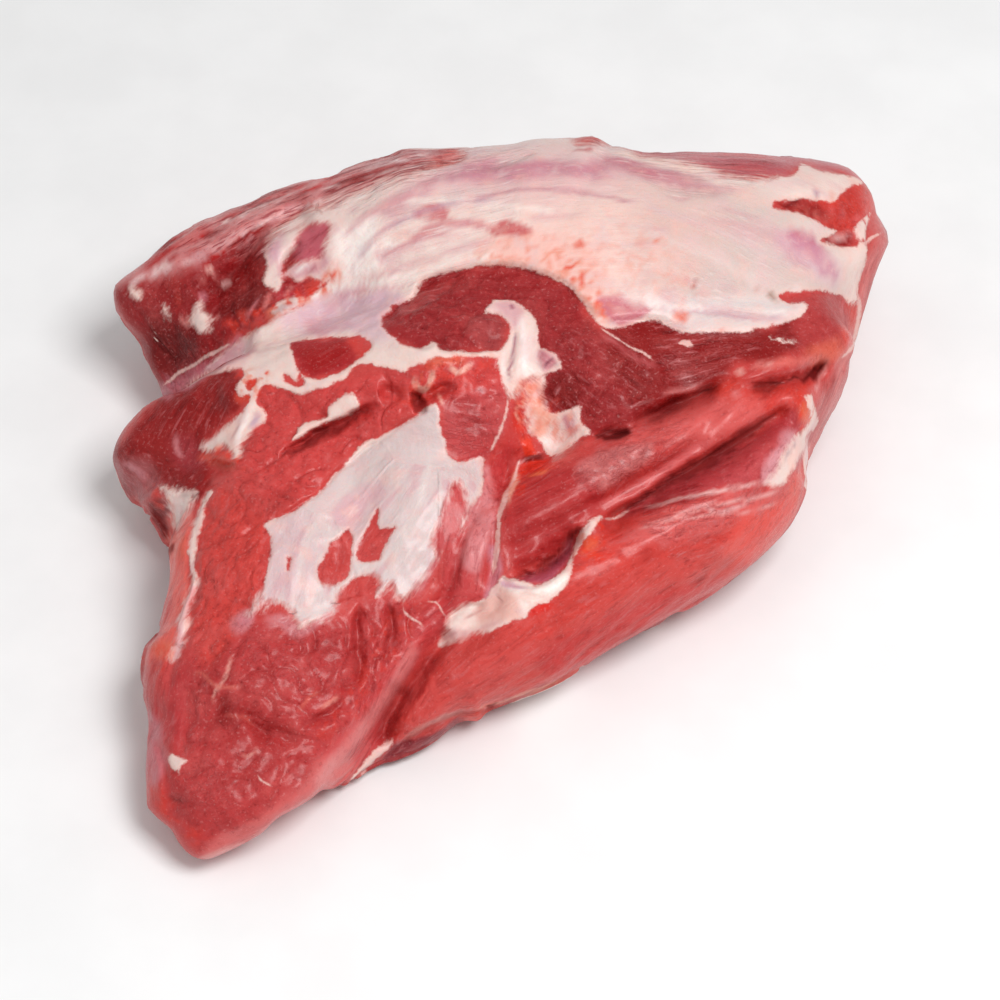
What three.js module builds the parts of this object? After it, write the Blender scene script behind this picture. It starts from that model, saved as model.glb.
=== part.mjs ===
// A whole raw beef topside, boned out and laid on its flat side: one heavy piece of meat, about 395 mm across.
// It is a bundle of muscles. Each muscle is a row of oval cross-sections, the muscles melt into each other
// at soft grooves, gaps are cut between the ones that have come apart, and the whole rests on a flat face.
// Millimetres, +Z up, +X to the right and +Y away from someone who stands in front of it.
import * as THREE from "three";

const ACROSS = 395; // the whole piece, from its left end to its right
const MEAT_RED = 0xb5423f;
const SKIN_DETAIL = 20; // how finely the surface is divided
const GROOVE = 9; // how softly one muscle runs into the next
const GAP_EDGE = 9; // how round the edges of the gaps are
const HEART = new THREE.Vector3(-55, 20, 14); // a point low inside, from where most of the outline can be seen
const INNER = 0.8; // how far the sheet inside the meat reaches, as a share of the way to its outline
const UPRIGHT = 2.2; // how long the lines from that sheet stay near the vertical
const TOP_SHARE = 1.3; // above 1, more of the surface is spent on the top and sides than underneath
const BLUR = [-0.24, -0.12, 0, 0.12, 0.24]; // radians, over which the sheet's outline is evened out
const OUTSIDE = 320; // a distance from inside that is past every surface
const STRIDE = 0.6; // each step inwards, as a share of how far the surface seems to be
const LEAST_STEP = 0.002;
const ON_SURFACE = 0.005; // a point this near the surface is on it
const FLAT_WITHIN = 0.05; // a point this low lies on the flat face
const TINY = 1e-6;

// Each station of a muscle: x, y, z of its middle, half its width and half its height. They give the proportions,
// nearly in millimetres: the finished surface is brought to the size above.
const MUSCLES = {
  core: [
    [-100, 76, 33, 72, 42],
    [0, 60, 36, 112, 52],
    [84, 94, 38, 92, 52],
    [118, 118, 42, 66, 50],
  ],
  back: [
    [-180, 143, 46, 26, 29],
    [-152, 149, 54, 37, 37],
    [-100, 155, 62, 51, 48],
    [-24, 147, 73, 73, 61],
    [58, 133, 76, 86, 62],
    [118, 148, 70, 74, 58],
    [150, 164, 65, 58, 50],
    [168, 181, 65, 37, 41],
    [186, 184, 60, 20, 30],
  ],
  backEnd: [
    [-166, 114, 32, 22, 26],
    [-110, 108, 54, 46, 42],
  ],
  leftEnd: [
    [-174, 52, 40, 26, 30],
    [-120, 52, 54, 40, 42],
    [-30, 54, 70, 62, 56],
  ],
  leftFold: [
    [-156, 18, 34, 20, 28],
    [-120, 0, 44, 40, 40],
  ],
  frontLobe: [
    [-94, 6, 48, 60, 46],
    [-106, -40, 42, 61, 42],
    [-112, -92, 34, 60, 36],
    [-125, -133, 27, 47, 28],
    [-137, -154, 20, 30, 20],
  ],
  innerBand: [
    [-40, -10, 54, 48, 44],
    [-66, -74, 34, 34, 32],
  ],
  eye: [
    [-46, 66, 86, 26, 28],
    [-10, 84, 90, 36, 34],
    [34, 66, 88, 38, 34],
    [60, 40, 86, 34, 30],
  ],
  darkRight: [
    [50, 60, 84, 40, 34],
    [110, 62, 82, 36, 34],
    [158, 88, 76, 26, 32],
  ],
  innerRoll: [
    [-4, -46, 52, 30, 36],
    [58, -2, 68, 30, 38],
    [128, 42, 74, 24, 34],
  ],
  frontSlab: [
    [-66, -106, 20, 16, 20],
    [-36, -94, 28, 24, 28],
    [6, -72, 38, 30, 38],
    [52, -39, 46, 32, 44],
    [98, -9, 54, 32, 49],
    [125, 20, 58, 31, 52],
    [138, 52, 60, 26, 53],
    [158, 96, 60, 22, 48],
  ],
  underLayer: [
    [-66, -112, 11, 18, 11],
    [-2, -84, 13, 12, 12],
  ],
};

// Each gap: the same stations, but it is cut away.
const GAPS = {
  pocket: [
    [30, -54, 86, 11, 6],
    [73, -24, 98, 12, 9],
    [116, 0, 105, 12, 9],
    [142, 22, 109, 9, 7],
  ],
  seam: [
    [2, -58, 88, 9, 6],
    [-14, -84, 74, 11, 11],
    [-36, -106, 56, 12, 12],
    [-62, -136, 28, 11, 12],
  ],
  notch: [
    [-208, 84, 45, 16, 28],
    [-173, 84, 62, 13, 22],
    [-140, 86, 84, 11, 14],
  ],
};

const smoothUnion = (a, b, k) => {
  const h = Math.max(k - Math.abs(a - b), 0) / k;
  return Math.min(a, b) - (h * h * k) / 4;
};

// How far a point is outside a row of oval cross-sections, below zero inside.
function distanceToRow(p, stations) {
  let nearest = Infinity;
  for (let i = 1; i < stations.length; i++) {
    const [from, to] = [stations[i - 1], stations[i]];
    const start = new THREE.Vector3(...from);
    const run = new THREE.Vector3(...to).sub(start);
    const t = THREE.MathUtils.clamp(p.clone().sub(start).dot(run) / run.lengthSq(), 0, 1);
    const off = p.clone().sub(start).addScaledVector(run, -t);
    const width = THREE.MathUtils.lerp(from[3], to[3], t);
    const height = THREE.MathUtils.lerp(from[4], to[4], t);
    const level = Math.hypot(off.x, off.y) / width;
    const share = Math.hypot(level, off.z / height);
    const d = share > TINY ? off.length() * (1 - 1 / share) : -Math.min(width, height);
    nearest = Math.min(nearest, d);
  }
  return nearest;
}

function distanceToMeat(p) {
  let d = Infinity;
  for (const stations of Object.values(MUSCLES))
    d = d === Infinity ? distanceToRow(p, stations) : smoothUnion(d, distanceToRow(p, stations), GROOVE);
  for (const stations of Object.values(GAPS)) d = -smoothUnion(-d, distanceToRow(p, stations), GAP_EDGE);
  return Math.max(d, -p.z);
}

// Walks in from outside towards a point inside, and stops at the surface.
function surfaceAlong(inside, direction) {
  let reach = OUTSIDE;
  let d = Infinity;
  const here = new THREE.Vector3();
  while (reach > 0 && d > ON_SURFACE) {
    d = distanceToMeat(here.copy(inside).addScaledVector(direction, reach));
    reach -= Math.max(d * STRIDE, LEAST_STEP);
  }
  return here;
}

const across = (turn) => new THREE.Vector3(Math.cos(turn), Math.sin(turn), 0);

// The mean distance from the heart to the meat's outline, over a few directions on both sides of one.
function outlineAround(turn) {
  let total = 0;
  for (const aside of BLUR)
    total += surfaceAlong(HEART, across(turn + aside)).distanceTo(HEART);
  return total / BLUR.length;
}

// A point of a unit sphere is sent to the meat's surface. The lines start on a flat sheet inside the meat that has
// the meat's own outline, and fan out from it: upright over the top, level at the sides and down underneath.
function surfacePoint(unit) {
  const turn = Math.atan2(unit.y, unit.x);
  const drop = (Math.acos(THREE.MathUtils.clamp(unit.z, -1, 1)) / Math.PI) ** TOP_SHARE;
  const toRim = 1 - Math.abs(1 - 2 * drop);
  const lean = (Math.PI / 2) * toRim ** UPRIGHT;
  const reach = INNER * outlineAround(turn) * Math.sin((Math.PI / 2) * toRim);
  const inside = HEART.clone().addScaledVector(across(turn), reach);
  const rise = Math.cos(lean) * (drop < 0.5 ? 1 : -1);
  const direction = across(turn).multiplyScalar(Math.sin(lean)).setZ(rise);
  const hit = surfaceAlong(inside, direction);
  if (hit.z < FLAT_WITHIN) hit.z = 0;
  return hit;
}

// Brings the surface to its real size, with the middle of its box over the origin.
function sizedAndCentred(geometry) {
  geometry.computeBoundingBox();
  const middle = geometry.boundingBox.getCenter(new THREE.Vector3());
  const size = geometry.boundingBox.getSize(new THREE.Vector3());
  const growth = ACROSS / size.x;
  return geometry.translate(-middle.x, -middle.y, 0).scale(growth, growth, growth);
}

function meatGeometry() {
  const geometry = new THREE.IcosahedronGeometry(1, SKIN_DETAIL);
  const position = geometry.getAttribute("position");
  const found = new Map();
  for (let i = 0; i < position.count; i++) {
    const unit = new THREE.Vector3().fromBufferAttribute(position, i);
    const key = unit.toArray().map((c) => c.toFixed(4)).join();
    if (!found.has(key)) found.set(key, surfacePoint(unit));
    position.setXYZ(i, ...found.get(key));
  }
  geometry.computeVertexNormals();
  return sizedAndCentred(geometry);
}

const topside = new THREE.Group();
const meat = new THREE.Mesh(
  meatGeometry(),
  new THREE.MeshStandardMaterial({ color: MEAT_RED, roughness: 0.4, metalness: 0 }),
);
meat.name = "meat";
topside.add(meat);

export default topside;
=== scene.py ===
"""The looks of a whole raw beef topside: a fine skin over the CAD meat, with its creases, flaps and fat.

The shape, the colours and the edges of the fat are given as named outlines and routes in the photo's frame of
1000 x 1000 pixels, x to the right and y down. They are laid on the meat from the photo's own camera.
"""
import math

import bpy
import numpy as np
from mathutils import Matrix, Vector, noise
from mathutils.bvhtree import BVHTree


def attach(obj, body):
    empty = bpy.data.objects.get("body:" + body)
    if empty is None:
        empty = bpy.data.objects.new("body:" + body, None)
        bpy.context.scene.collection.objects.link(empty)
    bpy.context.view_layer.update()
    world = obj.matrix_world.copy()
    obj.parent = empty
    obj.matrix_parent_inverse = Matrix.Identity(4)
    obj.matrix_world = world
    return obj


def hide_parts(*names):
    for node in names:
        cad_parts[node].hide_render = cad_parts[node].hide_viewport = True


MM = 0.001

# The photo's camera: it looks down on the meat from in front.
PHOTO_SIDE = 1000
LOOK_DOWN = math.radians(50)
VIEW_TARGET = np.array([-0.63, -18.22, 57.36]) * MM
VIEW_DISTANCE = 1625 * MM
SENSOR_WIDTH = 36.0
FOCAL_LENGTH = 122.4
NEAREST_SEEN = 50 * MM
PIXELS_PER_SLOPE = FOCAL_LENGTH / SENSOR_WIDTH * PHOTO_SIDE
PIXEL = VIEW_DISTANCE / PIXELS_PER_SLOPE  # the size of a photo pixel on the meat

# The room: panels of light, each with its place, size and power in metres and watts, and the floor.
PANELS = {
    "key_panel": ((0.55, -0.45, 1.5), 0.7, 19.5),
    "fill_panel": ((-1.2, -0.8, 1.2), 1.0, 2),
}
ROOM_LIGHT = 0.49
FLOOR_HALF = 4.0
FLOOR_GREYS = ((0.86, 0.86, 0.86), (0.9, 0.9, 0.9))

# The fine skin. Its points lie on lines that fan out from a flat sheet inside the meat.
SKIN_DIVISIONS = 99  # of each edge of the icosahedron that it starts as
CROWDING = 0.62  # below 1, points gather on the side that the photo shows
CROWDED_SIDE = np.array([0.05, -0.62, 0.78])
HEART = np.array([-53.2, 0.9, 13.4]) * MM  # a point low inside, in sight of most of the outline
SHEET_SHARE = 0.8  # how far the sheet reaches, as a share of the way to the outline
UPRIGHT = 2.2  # how long the lines stay near the vertical
TOP_SHARE = 1.3  # above 1, more of the skin lies on the top and sides than underneath
OUTLINE_BLUR = np.array([-0.24, -0.12, 0.0, 0.12, 0.24])  # radians
PAST_THE_MEAT = 350 * MM
SMOOTHING_LEVELS = 2
WELD_WITHIN = 0.01 * MM
FLAT_WITHIN = 0.3 * MM  # a point this low lies on the flat underside
TINY = 1e-9
LEAST_AREA = 1e-15

# Distances in the photo, in pixels, and the curves they are measured from.
CURVE_STEPS = 5  # short straight steps between two points of an outline or route
FAR = 60.0  # distances aren't followed further than this
END_FADE = 16.0  # over which a route's effect dies away at its ends

# Which part of the skin the photo shows.
HIDDEN_BY = 5 * MM  # a point counts as hidden when something lies this far in front of it
GRAZING = 0.12  # the skin counts as seen where it faces the camera more than this
SEEN_EVENING = 8
SEEN_FADE = (0.02, 0.4)

# How the creases, lumps and tears stand out. Heights are in millimetres, and fade on the flat base.
CREASE_STEP = 2.5  # pixels over which a lifted side rises
DEEPEST = 17 * MM
HIGHEST = 7 * MM
# The creases' painted shade lies along a narrower line than their hollows.
DARK_NARROWER = 1.4  # how many times narrower a crease's dark line is than its hollow
RELIEF_FACING = (0.08, 0.4)  # the relief grows as the skin faces the camera more, over this range
# Each kind of lump: its size, its height, how much higher it is where the muscle is torn, and a seed.
LUMPS = ((24 * MM, 0.8, 0.0, 30), (8 * MM, 0.25, 0.5, 31), (4 * MM, 0.1, 0.35, 32))
TEAR_STRETCH = (1, 1, 0.7)
TEAR_SIZE = 13 * MM
TEAR_WIDTH = 0.12
TEAR_DEPTH = 1.1
# Painted shade in the tears.
TEAR_PAINTED_SHADE = 0.22
THREAD_SIZE = 6 * MM
THREAD_HEIGHT = 0.5
FAT_HEIGHT = 0.5
FAT_SLOPE = 3  # pixels over which the fat rises from its edge
AT_THE_RIM = 0.4  # how much of the lumps is left where the skin turns away from the camera
RIM_FACING = (0.1, 0.4)
FLAT_BELOW = 6 * MM
SEAM_WIDTH = 0.07
SEAM_DEPTH = 4.0 * MM
# Painted shade in the seams on the hidden sides.
SEAM_PAINTED_SHADE = 0.2
LOBE_HEIGHT = 2.0 * MM

# How the kinds of surface give way to each other, in pixels or as amounts.
SOFT_EDGE_FADE = 8
TORN_FADE = (-6, 10)
TORN_TO_FAT = (-2, 2)
BEAD_EDGE = (0.0, 0.55)
ORANGE_ROUND_CLOTS = 1.3
CLOTS_ON_FAT = (0.5, 0.95)
CRINKLED_WHERE_TORN = 0.12
CRINKLED_FROM = 0.2
HIDDEN_SOFTNESS = 2.0
HIDDEN_TORN = 0.4

# Where the meat's outline runs in the photo, clockwise from the left end of the back.
OUTLINE_MIDDLE = (420, 440)
OUTLINE = [
    (113, 292), (121, 280), (146, 262), (165, 244), (180, 234), (210, 219), (240, 207), (270, 194),
    (300, 183), (316, 179), (326, 177), (342, 171), (360, 165), (390, 157), (405, 152), (440, 149.5),
    (480, 146.5), (510, 143), (532, 138), (570, 137), (588, 134), (598, 137), (606, 145), (618, 151),
    (690, 150), (750, 151), (800, 155), (840, 163), (856, 173), (868, 187), (874, 200), (873, 208),
    (880, 222), (887, 238), (880, 258), (869, 290), (861, 318), (857, 342), (849, 360), (849, 374),
    (841, 398), (826, 425), (812, 452), (805, 470), (805, 485), (799, 505), (786, 530), (758, 560),
    (720, 588), (660, 622), (600, 656), (560, 680), (520, 700), (490, 713), (480, 722), (462, 724),
    (440, 739), (420, 749), (400, 756), (370, 766), (350, 783), (335, 791), (322, 792), (310, 802),
    (280, 820), (260, 838), (230, 852), (208, 860), (192, 855), (180, 842), (172, 829), (152, 812),
    (148, 798), (147, 720), (144, 690), (147, 652), (156, 640), (163, 615), (169, 585), (169, 560),
    (164, 540), (156, 522), (144, 509), (132, 503), (120, 480), (113, 457), (122, 433), (140, 411),
    (157, 397), (160, 386), (152, 372), (145, 355), (143, 343), (130, 330), (118, 316),
]
OUTLINE_HOLD = (0.62, 1.0)  # the part of the way out over which the skin is drawn to that outline
OUTLINE_BINS = 720
OUTLINE_EVENING = 3  # neighbouring bins on each side
RISING_ABOVE = 25 * MM  # what lies lower than this slides along the floor instead of rising

WET_SHEEN = 0.022  # the white light that the wet surface adds to every colour
DARKEST = 0.003


def srgb(red, green, blue):
    """The pigment that looks like the given colour, from 0 to 255, once the wet sheen lies over it."""
    shares = np.array([red, green, blue], float) / 255
    seen = np.where(shares <= 0.04045, shares / 12.92, ((shares + 0.055) / 1.055) ** 2.4)
    return np.maximum(seen - WET_SHEEN, DARKEST)


MUSCLE = srgb(201, 76, 73)
PINK_MUSCLE = srgb(214, 98, 95)
DULL_MUSCLE = srgb(186, 66, 66)
DARK_MUSCLE = srgb(150, 47, 49)
# The painted shade that creases, hollows, tears and seams darken to.
PAINTED_CREASE_SHADE = srgb(108, 16, 18)
BLOOD = srgb(224, 66, 52)
SHEER_SKIN = srgb(204, 118, 120)
STRIP_SKIN = srgb(226, 156, 154)
FOLD_SKIN = srgb(188, 88, 90)
PURPLE_SKIN = srgb(198, 104, 118)
LILAC_SKIN = srgb(208, 146, 156)
GREY_PINK_SKIN = srgb(224, 190, 188)
CREAM_FAT = srgb(234, 209, 201)
ROSY_FAT = srgb(240, 188, 177)
ORANGE_FAT = srgb(230, 135, 110)
THREAD_FAT = srgb(232, 186, 178)
WHITE_FAT = srgb(248, 234, 228)
# What darker patches, grain, threads and gaps between folds take from each colour, red, green and blue.
DARKENING = (0.45, 0.7, 0.7)
GRAIN_SHADE = (0.62, 0.3, 0.32)
THREAD_SHADE = (0.6, 0.3, 0.33)
GAP_SHADE = (0.6, 0.35, 0.38)

# Fat and skin that hide the muscle: closed outlines.
PALE_AREAS = {
    "fat_cap": [(300, 214), (330, 201), (362, 190), (396, 178), (432, 168), (462, 160), (463, 146),
        (500, 134), (545, 126), (572, 128), (575, 142), (604, 143), (625, 147), (640, 155), (672, 160),
        (703, 167), (722, 175), (750, 179), (782, 178), (797, 174), (800, 163), (812, 169), (835, 174),
        (860, 180), (858, 186), (848, 188), (840, 194), (834, 202), (818, 200), (795, 200), (778, 200),
        (771, 204), (776, 210), (800, 213), (820, 223), (836, 231), (832, 236), (820, 240), (830, 245),
        (845, 247), (859, 246), (856, 236), (852, 230), (859, 222), (871, 212), (866, 226), (864, 242),
        (867, 257), (860, 275), (857, 292), (859, 314), (845, 298), (832, 294), (815, 290), (800, 293),
        (787, 292), (779, 296), (790, 303), (805, 304), (808, 309), (798, 317), (785, 322), (770, 325),
        (755, 329), (748, 334), (712, 333), (690, 334), (667, 326), (655, 320), (630, 325), (612, 328),
        (598, 323), (580, 300), (562, 283), (532, 271), (500, 265), (470, 269), (425, 281), (414, 297),
        (390, 306), (366, 320), (345, 300), (335, 281), (326, 281), (317, 281), (308, 277), (298, 281),
        (284, 275), (281, 285), (277, 290), (269, 288), (264, 281), (265, 273), (268, 267), (266, 254),
        (270, 240), (277, 231)],
    "saddle": [(206, 369), (222, 354), (245, 337), (270, 321), (300, 305), (332, 281), (372, 290), (392, 306),
        (382, 318), (385, 330), (403, 344), (420, 348), (436, 342), (442, 351), (470, 352), (495, 350),
        (503, 352), (500, 357), (470, 357), (438, 358), (412, 367), (400, 371), (370, 364), (356, 366),
        (340, 381), (310, 392), (296, 394), (272, 386), (250, 384), (240, 368), (222, 373)],
    "left_fork": [(243, 378), (252, 371), (262, 366), (270, 372), (262, 390), (258, 402), (264, 410),
        (266, 419), (257, 428), (247, 440), (241, 446), (240, 456), (235, 459), (231, 452), (224, 446),
        (219, 451), (203, 450), (203, 443), (213, 437), (226, 426), (236, 417), (247, 407), (251, 396),
        (240, 397), (236, 388)],
    "hook": [(484, 313), (489, 305), (496, 299), (513, 300), (526, 308), (535, 319), (539, 332), (538, 347),
        (547, 350), (555, 353), (562, 365), (555, 371), (541, 376), (532, 379), (522, 387), (514, 397),
        (507, 393), (501, 378), (498, 364), (499, 350), (508, 341), (510, 328), (503, 317), (495, 313)],
    "silverskin": [(437, 405), (441, 430), (451, 456), (463, 461), (481, 457), (484, 467), (481, 492),
        (470, 508), (462, 530), (467, 508), (460, 484), (451, 487), (443, 510), (432, 540), (436, 554),
        (424, 578), (402, 600), (390, 584), (375, 599), (378, 577), (355, 578), (337, 596), (334, 611),
        (312, 622), (299, 625), (290, 609), (270, 601), (248, 616), (262, 590), (270, 560), (271, 538),
        (264, 523), (285, 515), (310, 500), (340, 470), (362, 445), (385, 435), (412, 418)],
    "pocket_fat": [(447, 628), (450, 615), (458, 609), (470, 604), (486, 600), (491, 591), (497, 581),
        (504, 574), (508, 578), (520, 579), (532, 585), (545, 582), (558, 576), (567, 565), (571, 554),
        (575, 543), (584, 526), (593, 518), (603, 517), (596, 524), (587, 538), (578, 550), (573, 562),
        (572, 574), (566, 587), (558, 595), (545, 603), (533, 608), (525, 617), (516, 619), (503, 625),
        (490, 631), (470, 637), (452, 642), (440, 646)],
    "clot_fat": [(524, 383), (538, 378), (546, 384), (543, 394), (546, 405), (553, 414), (564, 412),
        (574, 407), (581, 405), (581, 417), (588, 429), (590, 434), (580, 438), (571, 446), (562, 453),
        (553, 456), (545, 450), (540, 442), (534, 436), (528, 430), (525, 416), (524, 400)],
    "plateau_strip": [(293, 440), (297, 427), (309, 421), (326, 418), (329, 408), (342, 398), (353, 394),
        (360, 408), (338, 420), (322, 424), (304, 432)],
    "left_patch": [(160, 487), (175, 489), (195, 491), (194, 500), (187, 512), (181, 525), (176, 531),
        (170, 512), (167, 499)],
    "nodule_1": [(131, 284), (136, 287), (141, 290), (141, 297), (135, 300), (130, 296), (129, 289)],
    "nodule_2": [(163, 305), (167, 306), (170, 319), (165, 320)],
    "nodule_3": [(198, 304), (203, 302), (205, 311), (211, 317), (208, 324), (212, 331), (202, 334),
        (194, 326), (189, 322), (193, 314)],
    "nodule_6": [(153, 335), (158, 331), (158, 340), (155, 342)],
    "tip_fleck": [(169, 753), (179, 757), (190, 760), (180, 765), (178, 773), (170, 765)],
    "foot_flap": [(334, 792), (349, 780), (362, 764), (376, 748), (394, 738), (391, 745), (372, 762),
        (357, 776), (345, 789)],
    "rim": [(802, 395), (807, 393), (812, 399), (814, 409), (818, 418), (815, 428), (808, 435), (808, 446),
        (801, 455), (794, 466), (787, 480), (777, 485), (766, 485), (771, 475), (778, 463), (785, 450),
        (795, 436), (805, 428), (811, 419), (808, 408), (806, 400)],
    "seam": [(208, 489), (212, 492), (205, 505), (203, 517), (201, 529), (197, 542), (194, 554), (195, 566),
        (196, 579), (194, 593), (190, 605), (189, 619), (186, 633), (182, 646), (178, 658), (171, 663),
        (170, 656), (176, 643), (178, 629), (180, 614), (184, 602), (189, 591), (191, 578), (189, 565),
        (188, 552), (191, 538), (194, 525), (199, 512), (202, 501)],
    "dot_2": [(767, 336), (776, 337), (787, 339), (800, 341), (790, 344), (778, 343)],
    "ridge": [(272, 313), (278, 303), (290, 299), (301, 296), (303, 303), (292, 310), (280, 318)],
}
# Flesh that shows through the fat and skin.
FLESH_WINDOWS = {
    "island": [(293, 355), (293, 344), (310, 339), (340, 337), (360, 336), (372, 345), (356, 361), (342, 371),
        (318, 380), (304, 376), (296, 365)],
    "skin_hole_1": [(348, 530), (353, 540), (350, 566), (344, 580), (332, 584), (320, 582), (318, 566),
        (327, 554), (328, 545), (338, 538)],
    "skin_hole_2": [(377, 509), (379, 529), (395, 528), (385, 545), (377, 560), (358, 560), (357, 550),
        (366, 530)],
    "skin_hole_3": [(288, 558), (291, 560), (289, 570), (287, 568)],
    "finger_gap": [(303, 230), (313, 225), (328, 224), (330, 231), (325, 242), (322, 250), (319, 257),
        (306, 261), (295, 265), (285, 273), (283, 268), (290, 255), (298, 242)],
    "fork_hole": [(246, 382), (257, 379), (256, 385), (251, 391), (247, 389)],
    "curl": [(283, 376), (291, 377), (297, 381), (301, 373), (304, 384), (296, 386), (286, 383)],
}
# Where the fat's edge is soft: how soft, and the outline.
SOFT_EDGES = {
    "strips": (9, [(262, 250), (300, 204), (380, 172), (450, 140), (480, 150), (400, 190), (320, 222),
        (280, 246)]),
    "crest": (4, [(560, 130), (640, 144), (720, 160), (780, 168), (770, 190), (700, 184), (600, 160)]),
    "fingers": (1.6, [(262, 262), (330, 255), (348, 290), (300, 300), (262, 296)]),
    "saddle_tail": (3, [(156, 384), (200, 350), (250, 330), (300, 300), (320, 300), (250, 352), (215, 380),
        (164, 404)]),
    "skin_left": (6, [(240, 596), (268, 590), (276, 606), (250, 626)]),
    "skin_foot": (4, [(286, 596), (340, 586), (344, 620), (300, 634)]),
    "skin_right": (4, [(370, 570), (430, 540), (446, 480), (470, 480), (468, 530), (440, 580), (400, 612)]),
    "pocket": (4, [(440, 612), (468, 600), (480, 636), (440, 646)]),
    "clot": (4, [(510, 380), (536, 376), (548, 400), (530, 436), (512, 420)]),
    "fork": (3, [(196, 436), (226, 424), (262, 430), (250, 464), (200, 460)]),
    "left_seam": (3.2, [(164, 586), (204, 584), (198, 644), (164, 668)]),
    "finger_gap": (2.5, [(300, 222), (334, 218), (334, 262), (300, 268), (284, 262)]),
    "rim": (2.6, [(760, 490), (770, 440), (800, 430), (812, 440), (800, 480), (780, 492)]),
    "patch": (3.5, [(158, 484), (198, 486), (192, 536), (166, 544)]),
    "nodules": (2.6, [(116, 274), (190, 286), (222, 296), (222, 342), (180, 346), (120, 310)]),
}
# Where blood has soaked in, in small clots: how strongly, softness in pixels, and the outline.
CLOTTED = {
    "hook_foot": (0.55, 6, [(512, 384), (524, 380), (536, 384), (540, 398), (528, 420), (532, 440),
        (520, 436), (512, 410)]),
    "clot_end": (0.45, 6, [(546, 404), (572, 404), (584, 420), (566, 440), (548, 440), (532, 424)]),
    "above_eye": (0.5, 16, [(470, 262), (500, 244), (556, 240), (590, 262), (600, 306), (575, 290),
        (540, 268), (500, 264)]),
    "cap_middle": (0.22, 26, [(570, 236), (640, 228), (680, 262), (700, 300), (650, 300), (600, 290)]),
    "plateau_top": (0.5, 10, [(410, 372), (440, 358), (480, 354), (500, 362), (470, 380), (430, 400),
        (400, 404)]),
    "fork": (0.6, 6, [(236, 372), (262, 372), (272, 388), (256, 398), (240, 392)]),
    "fork_foot": (0.8, 5, [(203, 452), (224, 446), (240, 457), (246, 470), (232, 466), (208, 462)]),
    "lip": (0.7, 6, [(584, 526), (604, 520), (620, 532), (606, 548), (612, 562), (590, 570), (572, 566),
        (576, 550)]),
    "saddle_top": (0.8, 6, [(226, 322), (262, 306), (300, 288), (334, 270), (340, 284), (300, 306),
        (262, 322), (236, 334)]),
    "rim": (0.7, 6, [(798, 402), (808, 408), (808, 424), (798, 430)]),
    "link": (0.35, 12, [(736, 376), (770, 392), (810, 384), (806, 400), (770, 412), (740, 404)]),
    "bay": (0.6, 6, [(148, 486), (168, 490), (176, 530), (170, 560), (162, 520)]),
    "corner": (0.5, 6, [(146, 640), (176, 648), (176, 672), (148, 668)]),
    "face_right": (0.35, 14, [(392, 600), (416, 620), (380, 690), (330, 740), (300, 740), (350, 680)]),
    "front_foot": (0.4, 6, [(150, 780), (180, 810), (210, 840), (190, 846), (160, 820)]),
    "right_edge": (0.5, 8, [(828, 196), (860, 184), (868, 200), (846, 212)]),
    "under": (0.6, 6, [(460, 712), (500, 700), (508, 712), (480, 724)]),
    "inner_seam": (0.6, 5, [(508, 476), (522, 470), (528, 486), (514, 500), (506, 492)]),
    "saddle_hole": (0.9, 3, [(260, 366), (268, 364), (269, 375), (262, 376)]),
    "above_eye_right": (0.75, 8, [(560, 258), (584, 262), (604, 296), (610, 318), (598, 318), (580, 294),
        (562, 276)]),
}
# Where the muscle is torn and spongy.
TORN_AREAS = {
    "plateau": [(262, 388), (340, 385), (412, 366), (500, 358), (506, 400), (486, 456), (440, 400),
        (360, 440), (300, 500), (220, 520), (236, 460)],
    "left_strip": [(196, 500), (250, 500), (262, 560), (250, 620), (190, 660)],
    "front_face": [(190, 650), (250, 622), (340, 618), (400, 600), (430, 620), (380, 690), (300, 790),
        (215, 840), (170, 800), (186, 720)],
    "left_face": [(130, 290), (190, 276), (262, 262), (330, 280), (250, 330), (180, 370), (140, 330)],
    "eye": [(390, 320), (430, 280), (500, 264), (566, 284), (610, 340), (660, 370), (600, 430), (545, 400)],
    "right_end": [(776, 206), (840, 200), (868, 186), (868, 214), (840, 232)],
    "inner_sheer": [(576, 470), (600, 446), (640, 438), (652, 452), (640, 474), (600, 494), (580, 490)],
}
# Where a sheer skin lies crinkled on the muscle: how strongly, softness in pixels, and the outline.
CRINKLED = {
    "inner_sheer": (0.6, 3, [(573, 476), (580, 466), (610, 450), (640, 438), (652, 446), (648, 462),
        (628, 478), (606, 492), (586, 490)]),
    "inner_right": (0.5, 6, [(640, 440), (676, 420), (684, 436), (672, 456), (648, 468)]),
    "slab_top": (0.55, 6, [(632, 516), (690, 498), (784, 482), (794, 492), (750, 520), (680, 536),
        (640, 540)]),
    "plateau_right": (0.6, 5, [(444, 416), (470, 404), (494, 410), (490, 436), (480, 454), (452, 454)]),
    "face_top": (0.45, 12, [(240, 640), (300, 626), (350, 640), (340, 690), (280, 700), (240, 680)]),
    "face_low": (0.4, 12, [(190, 730), (230, 740), (270, 760), (250, 800), (210, 810), (186, 780)]),
    "dark_right": (0.3, 10, [(620, 340), (700, 345), (780, 330), (800, 345), (730, 362), (690, 384),
        (640, 380)]),
}
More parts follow.
